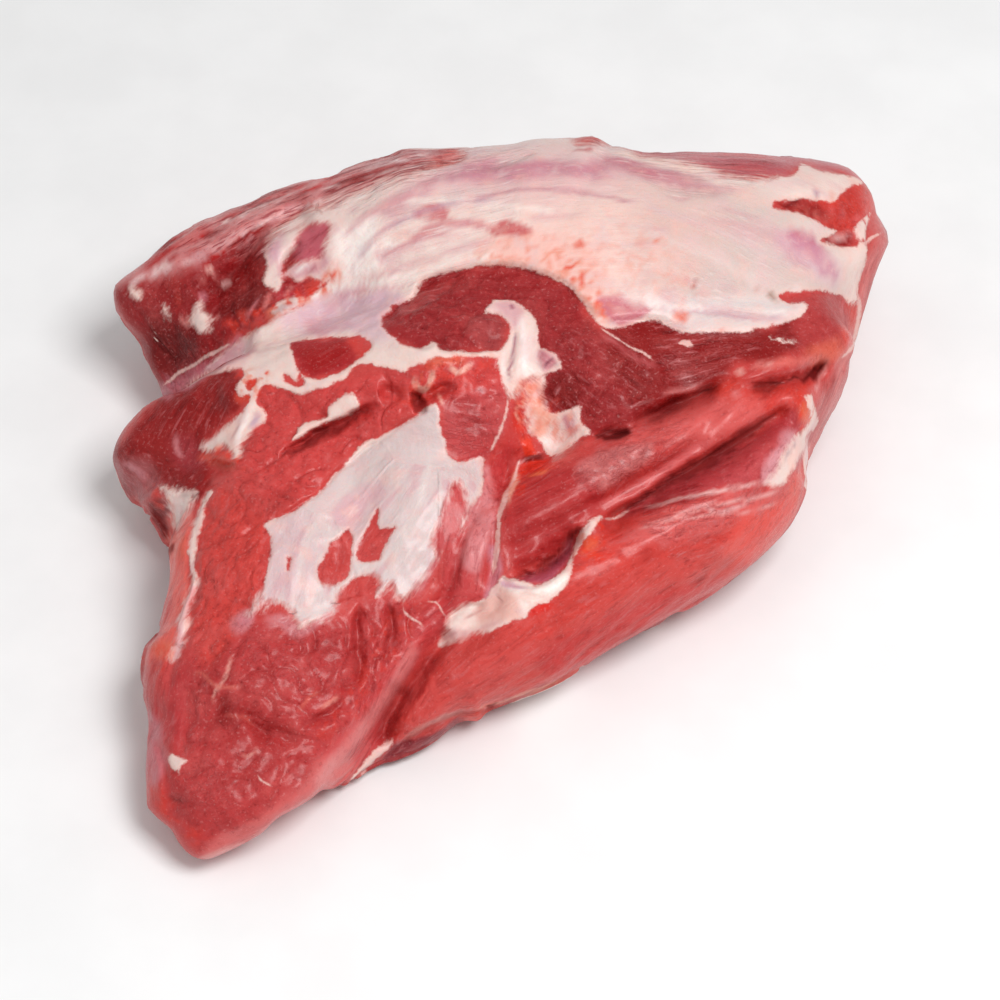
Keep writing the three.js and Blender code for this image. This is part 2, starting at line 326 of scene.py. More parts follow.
# Thin lines of fat and skin: half the width in pixels, and the route.
PALE_LINES = {
    "arm_line": (1.0, [(596, 324), (612, 335), (628, 347), (645, 353), (658, 364)]),
    "inner_seam": (1.6, [(522, 455), (509, 490), (500, 512), (497, 530)]),
    "inner_seam_low": (2.4, [(507, 490), (499, 515), (497, 540), (496, 560), (492, 580)]),
    "seam_to_hook": (1.2, [(486, 456), (498, 436), (505, 414), (508, 394)]),
    "dot_1": (3.2, [(679, 344), (686, 343), (694, 345)]),
    "curl_1": (0.9, [(402, 601), (406, 612), (417, 620), (427, 629)]),
    "curl_2": (0.8, [(421, 603), (436, 603), (443, 614), (449, 621)]),
    "curl_3": (0.8, [(256, 771), (263, 781), (274, 786)]),
    "slab_start": (1.3, [(600, 517), (615, 518), (632, 508)]),
    "right_edge": (1.8, [(859, 262), (862, 246), (870, 238), (884, 230)]),
    "right_edge_low": (1.6, [(858, 290), (859, 310), (857, 330), (851, 350), (838, 361)]),
    "seam_thread": (0.9, [(482, 610), (500, 596), (512, 598), (530, 604)]),
    "foot_line": (1.1, [(352, 780), (366, 765), (378, 748), (396, 739)]),
    "tail_top": (1.7, [(160, 388), (174, 377), (190, 367), (212, 353), (236, 341)]),
}
# The colour of the fat and skin: colour, softness of the edge in pixels, how strong, and the outline.
PALE_TINTS = {
    "left_half_pink": (GREY_PINK_SKIN, 30, 0.15, [(290, 210), (460, 150), (480, 240), (400, 300),
        (300, 330)]),
    "crest_grey": (GREY_PINK_SKIN, 14, 0.9, [(440, 150), (640, 150), (720, 190), (600, 196), (520, 205),
        (430, 200)]),
    "crest_lilac": (LILAC_SKIN, 9, 0.9, [(436, 186), (480, 163), (560, 160), (640, 160), (700, 182),
        (720, 200), (640, 178), (560, 178), (500, 184)]),
    "crest_purple": (srgb(190, 96, 112), 6, 0.6, [(600, 160), (640, 162), (690, 176), (726, 194), (690, 190),
        (640, 175)]),
    "left_lilac": (LILAC_SKIN, 8, 0.7, [(384, 200), (425, 180), (432, 194), (404, 218), (372, 226)]),
    "window_low": (LILAC_SKIN, 4, 0.8, [(286, 264), (316, 254), (326, 262), (316, 274), (296, 282),
        (283, 276)]),
    "saddle_pink": (srgb(220, 184, 192), 12, 0.95, [(286, 312), (380, 288), (396, 312), (350, 330),
        (290, 332)]),
    "saddle_lilac": (LILAC_SKIN, 5, 0.9, [(302, 332), (320, 322), (352, 321), (350, 330), (320, 336)]),
    "saddle_tail": (LILAC_SKIN, 7, 0.8, [(160, 390), (215, 352), (250, 345), (240, 365), (190, 386)]),
    "cap_right": (srgb(206, 184, 178), 30, 0.95, [(640, 200), (760, 196), (820, 250), (840, 290), (780, 300),
        (700, 320), (640, 290)]),
    "cap_foot": (srgb(228, 208, 205), 10, 0.9, [(640, 290), (700, 296), (780, 300), (806, 306), (750, 332),
        (690, 332), (640, 312)]),
    "skin": (srgb(213, 193, 192), 8, 0.9, [(437, 405), (484, 458), (480, 500), (430, 580), (400, 600),
        (300, 625), (248, 616), (262, 525), (330, 480), (380, 435)]),
    "middle_rosy": (ROSY_FAT, 14, 0.9, [(480, 245), (545, 235), (600, 250), (600, 320), (560, 285),
        (500, 266)]),
    "middle_warm": (ROSY_FAT, 30, 0.35, [(540, 190), (700, 195), (720, 240), (660, 290), (590, 290),
        (540, 250)]),
    "lower_purple": (PURPLE_SKIN, 4, 0.9, [(601, 302), (612, 298), (650, 314), (640, 320), (620, 323),
        (606, 318)]),
    "right_purple": (srgb(182, 78, 98), 2.5, 1.0, [(787, 233), (802, 235), (814, 244), (827, 259), (838, 286),
        (828, 278), (814, 262), (800, 250)]),
    "right_lilac": (srgb(214, 168, 184), 8, 0.6, [(776, 234), (800, 236), (832, 262), (838, 288), (812, 272),
        (784, 252)]),
    "sheer_spot_1": (SHEER_SKIN, 3, 0.95, [(415, 219), (424, 208), (436, 205), (448, 214), (440, 221),
        (426, 222)]),
    "sheer_spot_2": (srgb(198, 96, 98), 3.5, 0.95, [(486, 234), (500, 226), (522, 227), (533, 234),
        (530, 242), (512, 243), (494, 241)]),
    "skin_pink": (srgb(217, 168, 174), 9, 0.8, [(330, 512), (352, 492), (384, 488), (375, 508), (345, 528)]),
    "skin_low_pink": (srgb(216, 180, 184), 14, 0.6, [(270, 520), (310, 520), (312, 590), (280, 600),
        (262, 600)]),
    "clot_orange": (srgb(232, 128, 104), 5, 0.9, [(520, 388), (540, 380), (546, 398), (532, 410), (528, 430),
        (534, 446), (526, 440), (524, 400)]),
    "clot_purple": (srgb(198, 128, 136), 3, 0.9, [(560, 418), (568, 416), (576, 430), (568, 434)]),
    "hook_lilac": (LILAC_SKIN, 4, 0.7, [(490, 306), (505, 300), (520, 312), (514, 330), (508, 322)]),
    "pocket_light": (srgb(242, 222, 214), 6, 0.8, [(470, 608), (500, 588), (560, 580), (566, 592), (520, 616),
        (470, 636), (452, 628)]),
    "pocket_rosy": (srgb(228, 172, 160), 6, 0.85, [(488, 596), (502, 588), (520, 602), (520, 616), (500, 624),
        (476, 618)]),
    "pocket_lilac": (srgb(200, 150, 170), 3, 0.9, [(503, 582), (516, 583), (530, 587), (516, 589),
        (506, 588)]),
    "rim_rosy": (ROSY_FAT, 4, 0.6, [(780, 478), (792, 455), (800, 442), (802, 458), (790, 478)]),
    "fork_rosy": (ROSY_FAT, 5, 0.5, [(225, 430), (250, 420), (245, 450), (232, 448)]),
    "foot_rosy": (ROSY_FAT, 4, 0.5, [(352, 778), (376, 748), (394, 738), (372, 762)]),
    "seam_rosy": (srgb(222, 168, 176), 4, 0.8, [(166, 664), (182, 604), (192, 580), (196, 600), (188, 640),
        (176, 664)]),
    "finger_lilac": (srgb(206, 150, 168), 4, 0.8, [(268, 262), (272, 246), (282, 240), (284, 252), (278, 268),
        (270, 270)]),
    "hook_tag": (srgb(196, 116, 128), 3, 0.9, [(541, 352), (552, 354), (558, 364), (550, 371), (542, 368)]),
    "clot_rosy": (srgb(238, 170, 150), 5, 0.9, [(530, 404), (546, 406), (552, 418), (546, 440), (536, 440),
        (530, 420)]),
    "saddle_wash": (srgb(214, 178, 188), 9, 0.7, [(336, 296), (370, 292), (400, 300), (404, 340), (360, 336),
        (300, 318)]),
    "pocket_low": (srgb(212, 158, 158), 4, 0.8, [(446, 634), (470, 628), (500, 622), (490, 632), (452, 644)]),
    "crest_purple_left": (srgb(196, 118, 136), 7, 0.6, [(450, 172), (500, 162), (580, 164), (600, 172),
        (540, 174), (480, 184)]),
    "finger_light": (srgb(252, 238, 232), 10, 0.95, [(338, 238), (372, 222), (398, 240), (384, 270),
        (346, 280)]),
}
# Streaks on the fat and skin: colour, half the width and softness in pixels, how strong, and the route.
PALE_STREAKS = {
    "streak_1": (srgb(206, 130, 134), 2.5, 3, 0.8, [(404, 244), (424, 232), (446, 224), (480, 224),
        (496, 230)]),
    "streak_2": (srgb(208, 140, 144), 1.2, 2.5, 0.7, [(372, 262), (396, 250), (420, 240), (456, 232)]),
    "streak_3": (srgb(214, 160, 162), 1, 4, 0.5, [(352, 292), (380, 276), (420, 262), (450, 258)]),
    "streak_4": (srgb(210, 150, 155), 1, 4, 0.6, [(340, 240), (370, 215), (410, 195), (450, 170)]),
    "streak_5": (srgb(244, 226, 218), 1, 4, 0.7, [(400, 205), (440, 200), (500, 206), (560, 212)]),
    "streak_6": (srgb(244, 226, 218), 1, 4, 0.7, [(345, 300), (400, 282), (450, 262), (500, 252)]),
    "streak_7": (srgb(205, 150, 160), 1, 3, 0.6, [(440, 185), (480, 176), (560, 172), (620, 178)]),
    "streak_8": (srgb(222, 196, 190), 1, 5, 0.7, [(600, 215), (660, 238), (720, 262), (765, 292)]),
    "streak_9": (srgb(216, 186, 186), 1, 5, 0.6, [(640, 205), (720, 232), (780, 262), (836, 290)]),
    "streak_11": (srgb(190, 120, 110), 0.4, 1.5, 0.8, [(682, 266), (694, 276), (692, 292), (698, 298)]),
    "streak_12": (srgb(205, 170, 180), 1, 4, 0.7, [(650, 306), (690, 312), (740, 318), (790, 318)]),
    "crest_line": (srgb(236, 206, 196), 2, 4, 0.9, [(606, 148), (640, 158), (690, 170), (730, 190)]),
    "crest_line_2": (srgb(180, 70, 75), 0.8, 2, 0.9, [(572, 150), (586, 149), (598, 148)]),
    "fold_dark": (srgb(170, 90, 90), 0.5, 2, 0.6, [(812, 190), (818, 196), (815, 202)]),
    "skin_fold_1": (srgb(205, 165, 170), 0.8, 4, 0.7, [(290, 612), (288, 580), (300, 540), (310, 522)]),
    "skin_fold_2": (srgb(222, 206, 202), 1, 5, 0.5, [(352, 574), (380, 562), (400, 545), (420, 500),
        (430, 450)]),
    "skin_fold_3": (srgb(222, 206, 202), 1, 5, 0.5, [(300, 590), (302, 560), (312, 530), (345, 490),
        (400, 440)]),
    "skin_fold_4": (srgb(210, 176, 180), 0.8, 3, 0.7, [(420, 598), (428, 570), (434, 545), (446, 500),
        (452, 470)]),
    "hook_light": (srgb(246, 234, 232), 1.5, 3, 0.8, [(520, 312), (524, 340), (524, 362), (520, 378)]),
    "spot_1": (srgb(226, 108, 84), 2.5, 5, 0.9, [(576, 240), (580, 244), (584, 240)]),
    "spot_2": (srgb(226, 120, 95), 1.5, 6, 0.8, [(655, 240), (658, 243)]),
    "spot_3": (srgb(120, 60, 60), 0.8, 1.8, 0.9, [(750, 185), (753, 186)]),
    "spot_4": (srgb(222, 110, 90), 2.5, 5, 0.9, [(670, 316), (680, 318), (690, 321)]),
    "spot_5": (srgb(220, 100, 82), 3.0, 5, 0.9, [(714, 334), (722, 338)]),
    # Painted shade along the edge of the lower fat flap.
    "flap_edge_shade": (srgb(196, 150, 140), 0.3, 1.2, 0.6, [(738, 282), (758, 290), (778, 297)]),
    "streak_14": (srgb(196, 140, 148), 0.8, 3, 0.7, [(470, 200), (520, 190), (580, 192), (640, 204)]),
    "streak_15": (srgb(190, 150, 165), 0.8, 4, 0.6, [(352, 262), (390, 228), (440, 206), (500, 200)]),
    "streak_16": (srgb(244, 230, 224), 0.8, 3, 0.8, [(300, 300), (340, 286), (380, 282), (420, 268)]),
    "streak_17": (srgb(205, 150, 160), 0.8, 3, 0.6, [(330, 296), (370, 292), (404, 286)]),
    "hook_dark": (srgb(168, 108, 120), 0.6, 2, 0.9, [(512, 322), (515, 342), (512, 360), (509, 374),
        (512, 386)]),
    "hook_dark_2": (srgb(160, 92, 112), 1.5, 2, 0.8, [(509, 306), (514, 309)]),
    "lip_dark": (srgb(190, 134, 128), 0.4, 1.6, 0.8, [(494, 592), (500, 598), (504, 604)]),
    "lip_dark_2": (srgb(196, 140, 134), 0.5, 1.8, 0.8, [(462, 620), (478, 614), (492, 608)]),
    "finger_dark": (srgb(170, 84, 98), 0.4, 2, 0.85, [(298, 279), (308, 273), (318, 264)]),
    "finger_light": (srgb(240, 224, 220), 1.2, 2, 0.9, [(292, 275), (303, 268), (314, 261)]),
    "rim_dark": (srgb(176, 130, 138), 0.5, 1.5, 0.7, [(800, 433), (790, 450), (778, 470)]),
    "cap_crack": (srgb(150, 110, 92), 0.3, 1.0, 0.8, [(760, 292), (771, 297), (780, 302)]),
    "hook_light_2": (srgb(240, 226, 224), 1, 2, 0.8, [(503, 348), (503, 364), (506, 380)]),
    "hook_tag_line": (srgb(120, 60, 76), 0.4, 1.2, 0.9, [(542, 371), (548, 364), (555, 358)]),
    "clot_white": (srgb(246, 234, 230), 3, 5, 0.9, [(546, 436), (556, 444), (566, 440)]),
    "clot_white_2": (srgb(240, 220, 218), 1.5, 2, 0.9, [(526, 422), (527, 432), (532, 442)]),
    "fork_white": (srgb(244, 230, 226), 1.5, 2.5, 0.9, [(250, 404), (246, 418), (240, 434), (236, 452)]),
    "fork_dark": (srgb(196, 150, 150), 0.5, 1.5, 0.8, [(242, 414), (239, 424), (234, 436), (231, 446)]),
    "fork_grey": (srgb(196, 160, 178), 2, 3, 0.8, [(260, 410), (257, 420), (250, 432)]),
    "lip_light": (srgb(246, 234, 226), 2, 3, 0.9, [(530, 596), (548, 590), (560, 580), (570, 568)]),
    "lip_light_2": (srgb(244, 228, 220), 2, 3, 0.9, [(454, 618), (466, 612), (482, 606)]),
    "cap_fold": (srgb(182, 150, 165), 0.5, 1.8, 0.8, [(811, 197), (817, 194), (826, 199)]),
    "cap_fold_2": (srgb(176, 150, 158), 0.6, 1.4, 0.8, [(817, 177), (817, 180)]),
    "cap_fold_3": (srgb(216, 206, 204), 1, 4, 0.7, [(650, 296), (700, 302), (750, 304), (800, 308)]),
    "cap_fold_4": (srgb(244, 232, 228), 1, 3, 0.7, [(640, 304), (700, 310), (760, 312), (796, 312)]),
    "spot_top": (srgb(218, 74, 62), 4.5, 2.5, 1.0, [(428, 166), (440, 162), (450, 158), (464, 153)]),
    "spot_crest": (srgb(204, 84, 76), 3.5, 2.5, 0.7, [(566, 142), (580, 139), (594, 139), (608, 144)]),
}
# The colour of the muscle, given like that of the fat.
MUSCLE_TINTS = {
    "strips": (srgb(216, 140, 139), 5, 0.92, [(118, 282), (180, 232), (260, 196), (340, 168), (410, 148),
        (440, 150), (400, 176), (300, 214), (262, 244), (210, 260), (160, 280)]),
    "left_face": (DARK_MUSCLE, 8, 0.95, [(112, 290), (150, 280), (205, 262), (262, 224), (272, 296),
        (238, 334), (190, 370), (160, 388), (130, 335)]),
    # Darker in the hollow of the left face: painted shade.
    "left_face_low": (srgb(118, 30, 32), 8, 0.95, [(150, 318), (178, 318), (198, 335), (188, 362), (166, 384),
        (147, 356)]),
    # Darker in the groove at the back's left end: painted shade.
    "left_face_deep": (srgb(138, 34, 37), 7, 0.9, [(222, 296), (262, 250), (268, 305), (236, 318)]),
    # The left lobe is partly the muscle's own darker red and partly painted shade on the side turned from the
    # light.
    "left_lobe": (srgb(144, 26, 30), 6, 0.95, [(158, 398), (200, 380), (234, 372), (240, 405), (205, 445),
        (216, 470), (196, 500), (165, 490), (128, 500), (112, 458)]),
    # Darker in the hole above the left lobe: painted shade.
    "left_lobe_hole": (srgb(130, 28, 30), 8, 0.8, [(190, 402), (205, 394), (230, 392), (234, 404), (222, 413),
        (200, 410)]),
    "lobe_sheer": (srgb(176, 76, 84), 9, 0.4, [(180, 435), (200, 445), (206, 465), (188, 470), (178, 455)]),
    "lobe_low_sheer": (srgb(176, 92, 94), 8, 0.8, [(116, 460), (150, 462), (160, 490), (140, 500),
        (125, 490)]),
    # Darker in the bay between the lobe and the front strip: painted shade.
    "bay": (srgb(125, 35, 37), 6, 0.9, [(148, 503), (164, 503), (170, 530), (172, 555), (160, 540)]),
    "eye": (srgb(159, 53, 55), 6, 1.0, [(380, 320), (420, 280), (500, 260), (565, 283), (600, 330),
        (660, 366), (714, 380), (672, 402), (642, 422), (592, 438), (540, 405), (538, 350), (505, 312),
        (470, 356), (405, 346)]),
    "eye_end": (srgb(163, 68, 69), 4, 0.9, [(465, 335), (475, 318), (492, 315), (507, 328), (504, 342),
        (485, 349)]),
    "dark_right": (srgb(138, 30, 34), 8, 1.0, [(600, 325), (660, 318), (750, 328), (812, 300), (840, 300),
        (845, 340), (800, 355), (735, 362), (715, 382), (640, 410)]),
    "dark_right_end": (srgb(178, 66, 66), 9, 0.9, [(790, 300), (820, 292), (856, 300), (856, 335), (840, 352),
        (800, 348)]),
    "dark_right_low": (srgb(188, 66, 64), 7, 0.8, [(740, 372), (780, 356), (835, 350), (824, 366),
        (780, 378)]),
    "link": (srgb(206, 62, 52), 8, 0.9, [(716, 388), (738, 378), (752, 392), (804, 384), (794, 405),
        (740, 412)]),
    "inner_strips": (srgb(190, 68, 66), 8, 0.9, [(505, 500), (545, 470), (640, 440), (700, 440), (690, 458),
        (600, 512), (560, 545), (505, 570)]),
    "inner_top": (PINK_MUSCLE, 10, 0.8, [(600, 440), (680, 408), (760, 395), (790, 400), (740, 430),
        (690, 445)]),
    # Partly a sheer skin on the muscle, partly a painted wet highlight.
    "inner_sheer": (srgb(208, 120, 118), 5, 0.85, [(576, 470), (610, 445), (650, 440), (650, 458), (620, 480),
        (590, 492)]),
    "slab_wall": (srgb(186, 74, 78), 7, 0.95, [(622, 512), (680, 478), (740, 445), (800, 405), (805, 440),
        (782, 478), (700, 494), (650, 508)]),
    "slab": (srgb(206, 72, 66), 8, 0.9, [(395, 735), (430, 660), (540, 608), (600, 530), (700, 500),
        (790, 486), (808, 440), (812, 480), (770, 560), (600, 660), (480, 715)]),
    # Paler along the top of the slab: partly a veil of sheer skin, partly a painted wet highlight.
    "slab_top": (srgb(214, 104, 102), 8, 0.7, [(625, 530), (690, 502), (785, 484), (796, 490), (740, 520),
        (660, 545)]),
    "slab_left": (srgb(206, 80, 76), 14, 0.8, [(400, 735), (430, 665), (500, 640), (560, 640), (480, 700)]),
    "right_sheet": (srgb(203, 98, 95), 5, 0.95, [(872, 214), (890, 236), (872, 300), (862, 352), (820, 440),
        (812, 420), (818, 396), (850, 350), (858, 300), (868, 250)]),
    "right_red": (srgb(210, 66, 58), 4, 0.95, [(771, 205), (812, 202), (848, 188), (864, 178), (878, 200),
        (872, 216), (858, 224), (836, 232), (800, 214)]),
    "right_red_dark": (srgb(150, 34, 36), 4, 0.8, [(776, 206), (800, 201), (822, 206), (830, 216),
        (800, 212)]),
    "crest_strip": (srgb(196, 112, 118), 6, 0.95, [(618, 150), (800, 150), (870, 178), (830, 170), (797, 164),
        (780, 178), (720, 174), (660, 158)]),
    "crest_strip_dark": (srgb(180, 76, 84), 5, 0.85, [(722, 162), (760, 160), (795, 162), (786, 175),
        (745, 176)]),
    "plateau": (srgb(209, 74, 72), 9, 0.9, [(262, 388), (340, 380), (400, 372), (500, 360), (506, 400),
        (440, 400), (360, 438), (300, 500), (250, 480)]),
    "plateau_right": (srgb(192, 78, 80), 6, 0.8, [(444, 402), (505, 395), (498, 430), (480, 455),
        (452, 452)]),
    "island": (srgb(170, 50, 54), 4, 0.9, [(293, 344), (345, 340), (350, 362), (318, 380), (296, 368)]),
    "island_end": (srgb(206, 68, 62), 5, 0.9, [(348, 338), (372, 345), (356, 358)]),
    "middle_strip": (srgb(196, 74, 76), 8, 0.8, [(484, 470), (512, 440), (505, 500), (492, 560), (480, 600),
        (440, 610), (450, 540)]),
    "front_face": (srgb(188, 66, 67), 12, 0.9, [(190, 640), (340, 615), (420, 600), (360, 720), (260, 830),
        (190, 850), (165, 780)]),
    "front_face_mid": (srgb(176, 60, 60), 14, 0.6, [(205, 690), (260, 680), (300, 740), (240, 780)]),
    "front_left": (srgb(212, 74, 68), 9, 0.9, [(200, 500), (262, 520), (255, 610), (200, 660)]),
    "front_strip": (srgb(236, 110, 100), 6, 0.9, [(168, 520), (192, 520), (186, 560), (190, 600), (160, 690),
        (145, 680), (168, 600)]),
    "front_strip_low": (srgb(184, 66, 68), 8, 0.8, [(144, 670), (185, 660), (180, 740), (146, 720)]),
    "front_edge": (srgb(198, 120, 128), 6, 0.8, [(147, 712), (160, 726), (162, 770), (146, 776)]),
    "front_band": (srgb(198, 74, 76), 9, 0.95, [(430, 600), (446, 625), (395, 700), (372, 760), (300, 812),
        (285, 800), (350, 720), (390, 660)]),
    "front_band_low": (srgb(214, 108, 106), 8, 0.9, [(320, 760), (360, 770), (300, 812), (240, 848),
        (200, 856), (215, 840), (270, 812)]),
    # Darker in the hole in the front face: painted shade.
    "face_hole": (srgb(140, 40, 41), 7, 0.8, [(216, 702), (232, 698), (236, 712), (222, 718)]),
    # The layer under the slab is darker with painted shade beneath the slab.
    "under_layer": (srgb(136, 56, 62), 3, 0.95, [(376, 764), (400, 744), (450, 720), (476, 714), (480, 724),
        (440, 744), (400, 762)]),
    # The right part of the layer under the slab: darker with painted shade beneath the slab.
    "under_layer_right": (srgb(176, 52, 48), 3, 0.95, [(470, 716), (510, 699), (560, 680), (640, 635),
        (650, 638), (560, 684), (490, 718)]),
    "inner_dark": (srgb(176, 56, 58), 8, 0.7, [(510, 500), (560, 470), (600, 490), (590, 520), (540, 560),
        (512, 560)]),
    # Darker along the slab's lower edge: partly the muscle's own darker red, partly painted shade.
    "slab_foot": (srgb(198, 52, 52), 8, 0.7, [(540, 650), (620, 610), (700, 580), (720, 590), (640, 636),
        (560, 676)]),
    "slab_end": (srgb(230, 84, 74), 12, 0.8, [(740, 520), (800, 490), (800, 520), (770, 556), (730, 560)]),
    "middle_sheen": (srgb(218, 138, 140), 5, 0.9, [(466, 480), (490, 466), (494, 530), (480, 572),
        (464, 560)]),
    "island_dark": (srgb(160, 36, 42), 5, 0.8, [(300, 350), (340, 342), (346, 356), (320, 374), (302, 368)]),
    # Darker in the pit: painted shade.
    "left_pit": (srgb(120, 22, 26), 6, 0.8, [(224, 304), (262, 280), (272, 296), (240, 318)]),
    "tip_rim": (srgb(226, 160, 156), 3, 0.8, [(200, 854), (220, 851), (244, 842), (262, 832), (266, 838),
        (240, 853), (206, 862)]),
    "finger_gap": (srgb(196, 100, 112), 4, 0.95, [(296, 250), (302, 228), (330, 220), (332, 236), (322, 260),
        (300, 264)]),
    "finger_foot": (srgb(176, 50, 60), 5, 0.9, [(282, 280), (300, 280), (304, 290), (292, 304), (280, 304),
        (272, 294)]),
    "fork_hole": (srgb(206, 72, 60), 3, 0.95, [(232, 390), (246, 378), (258, 378), (256, 392), (246, 404),
        (234, 400)]),
    "knob": (srgb(220, 92, 78), 4, 0.9, [(203, 452), (222, 452), (240, 460), (236, 472), (214, 462),
        (202, 460)]),
    "muscle_end": (srgb(132, 28, 34), 4, 0.9, [(544, 392), (552, 378), (566, 374), (580, 384), (580, 402),
        (566, 412), (552, 408)]),
    "pocket_fold": (srgb(176, 86, 102), 4, 0.9, [(520, 580), (545, 568), (560, 554), (572, 540), (574, 552),
        (562, 572), (545, 582)]),
    "seam_membrane": (srgb(204, 140, 152), 4, 0.85, [(492, 548), (502, 552), (506, 570), (500, 580),
        (488, 600), (484, 596), (492, 572)]),
    "wall_patch_1": (srgb(214, 150, 156), 3, 0.8, [(762, 476), (770, 458), (784, 452), (778, 466),
        (770, 482)]),
    "wall_patch_2": (srgb(212, 138, 144), 4, 0.8, [(776, 444), (780, 434), (796, 434), (788, 446)]),
    "rim_inside": (srgb(224, 96, 66), 3, 0.95, [(800, 402), (806, 402), (809, 418), (804, 428), (798, 424)]),
    "sheet_edge": (srgb(226, 150, 146), 2.5, 0.85, [(828, 361), (832, 362), (824, 378), (814, 391),
        (811, 388), (820, 376)]),
    "slab_rim": (srgb(226, 96, 84), 5, 0.9, [(804, 454), (810, 450), (804, 480), (800, 500), (786, 490),
        (794, 472)]),
    "dark_right_edge": (srgb(212, 70, 58), 4, 0.9, [(848, 304), (858, 308), (858, 340), (848, 348),
        (842, 334), (848, 318)]),
    "tail": (srgb(198, 124, 134), 3, 0.9, [(160, 390), (190, 368), (216, 353), (244, 340), (244, 366),
        (212, 373), (184, 388), (164, 397)]),
    "strips_sheen": (srgb(212, 156, 158), 4, 0.8, [(186, 256), (226, 234), (262, 218), (292, 206), (300, 210),
        (262, 230), (232, 250), (200, 264)]),
    "skin_window": (srgb(200, 84, 86), 4, 0.9, [(442, 510), (450, 488), (460, 484), (466, 508), (460, 528),
        (446, 546), (434, 550)]),
}
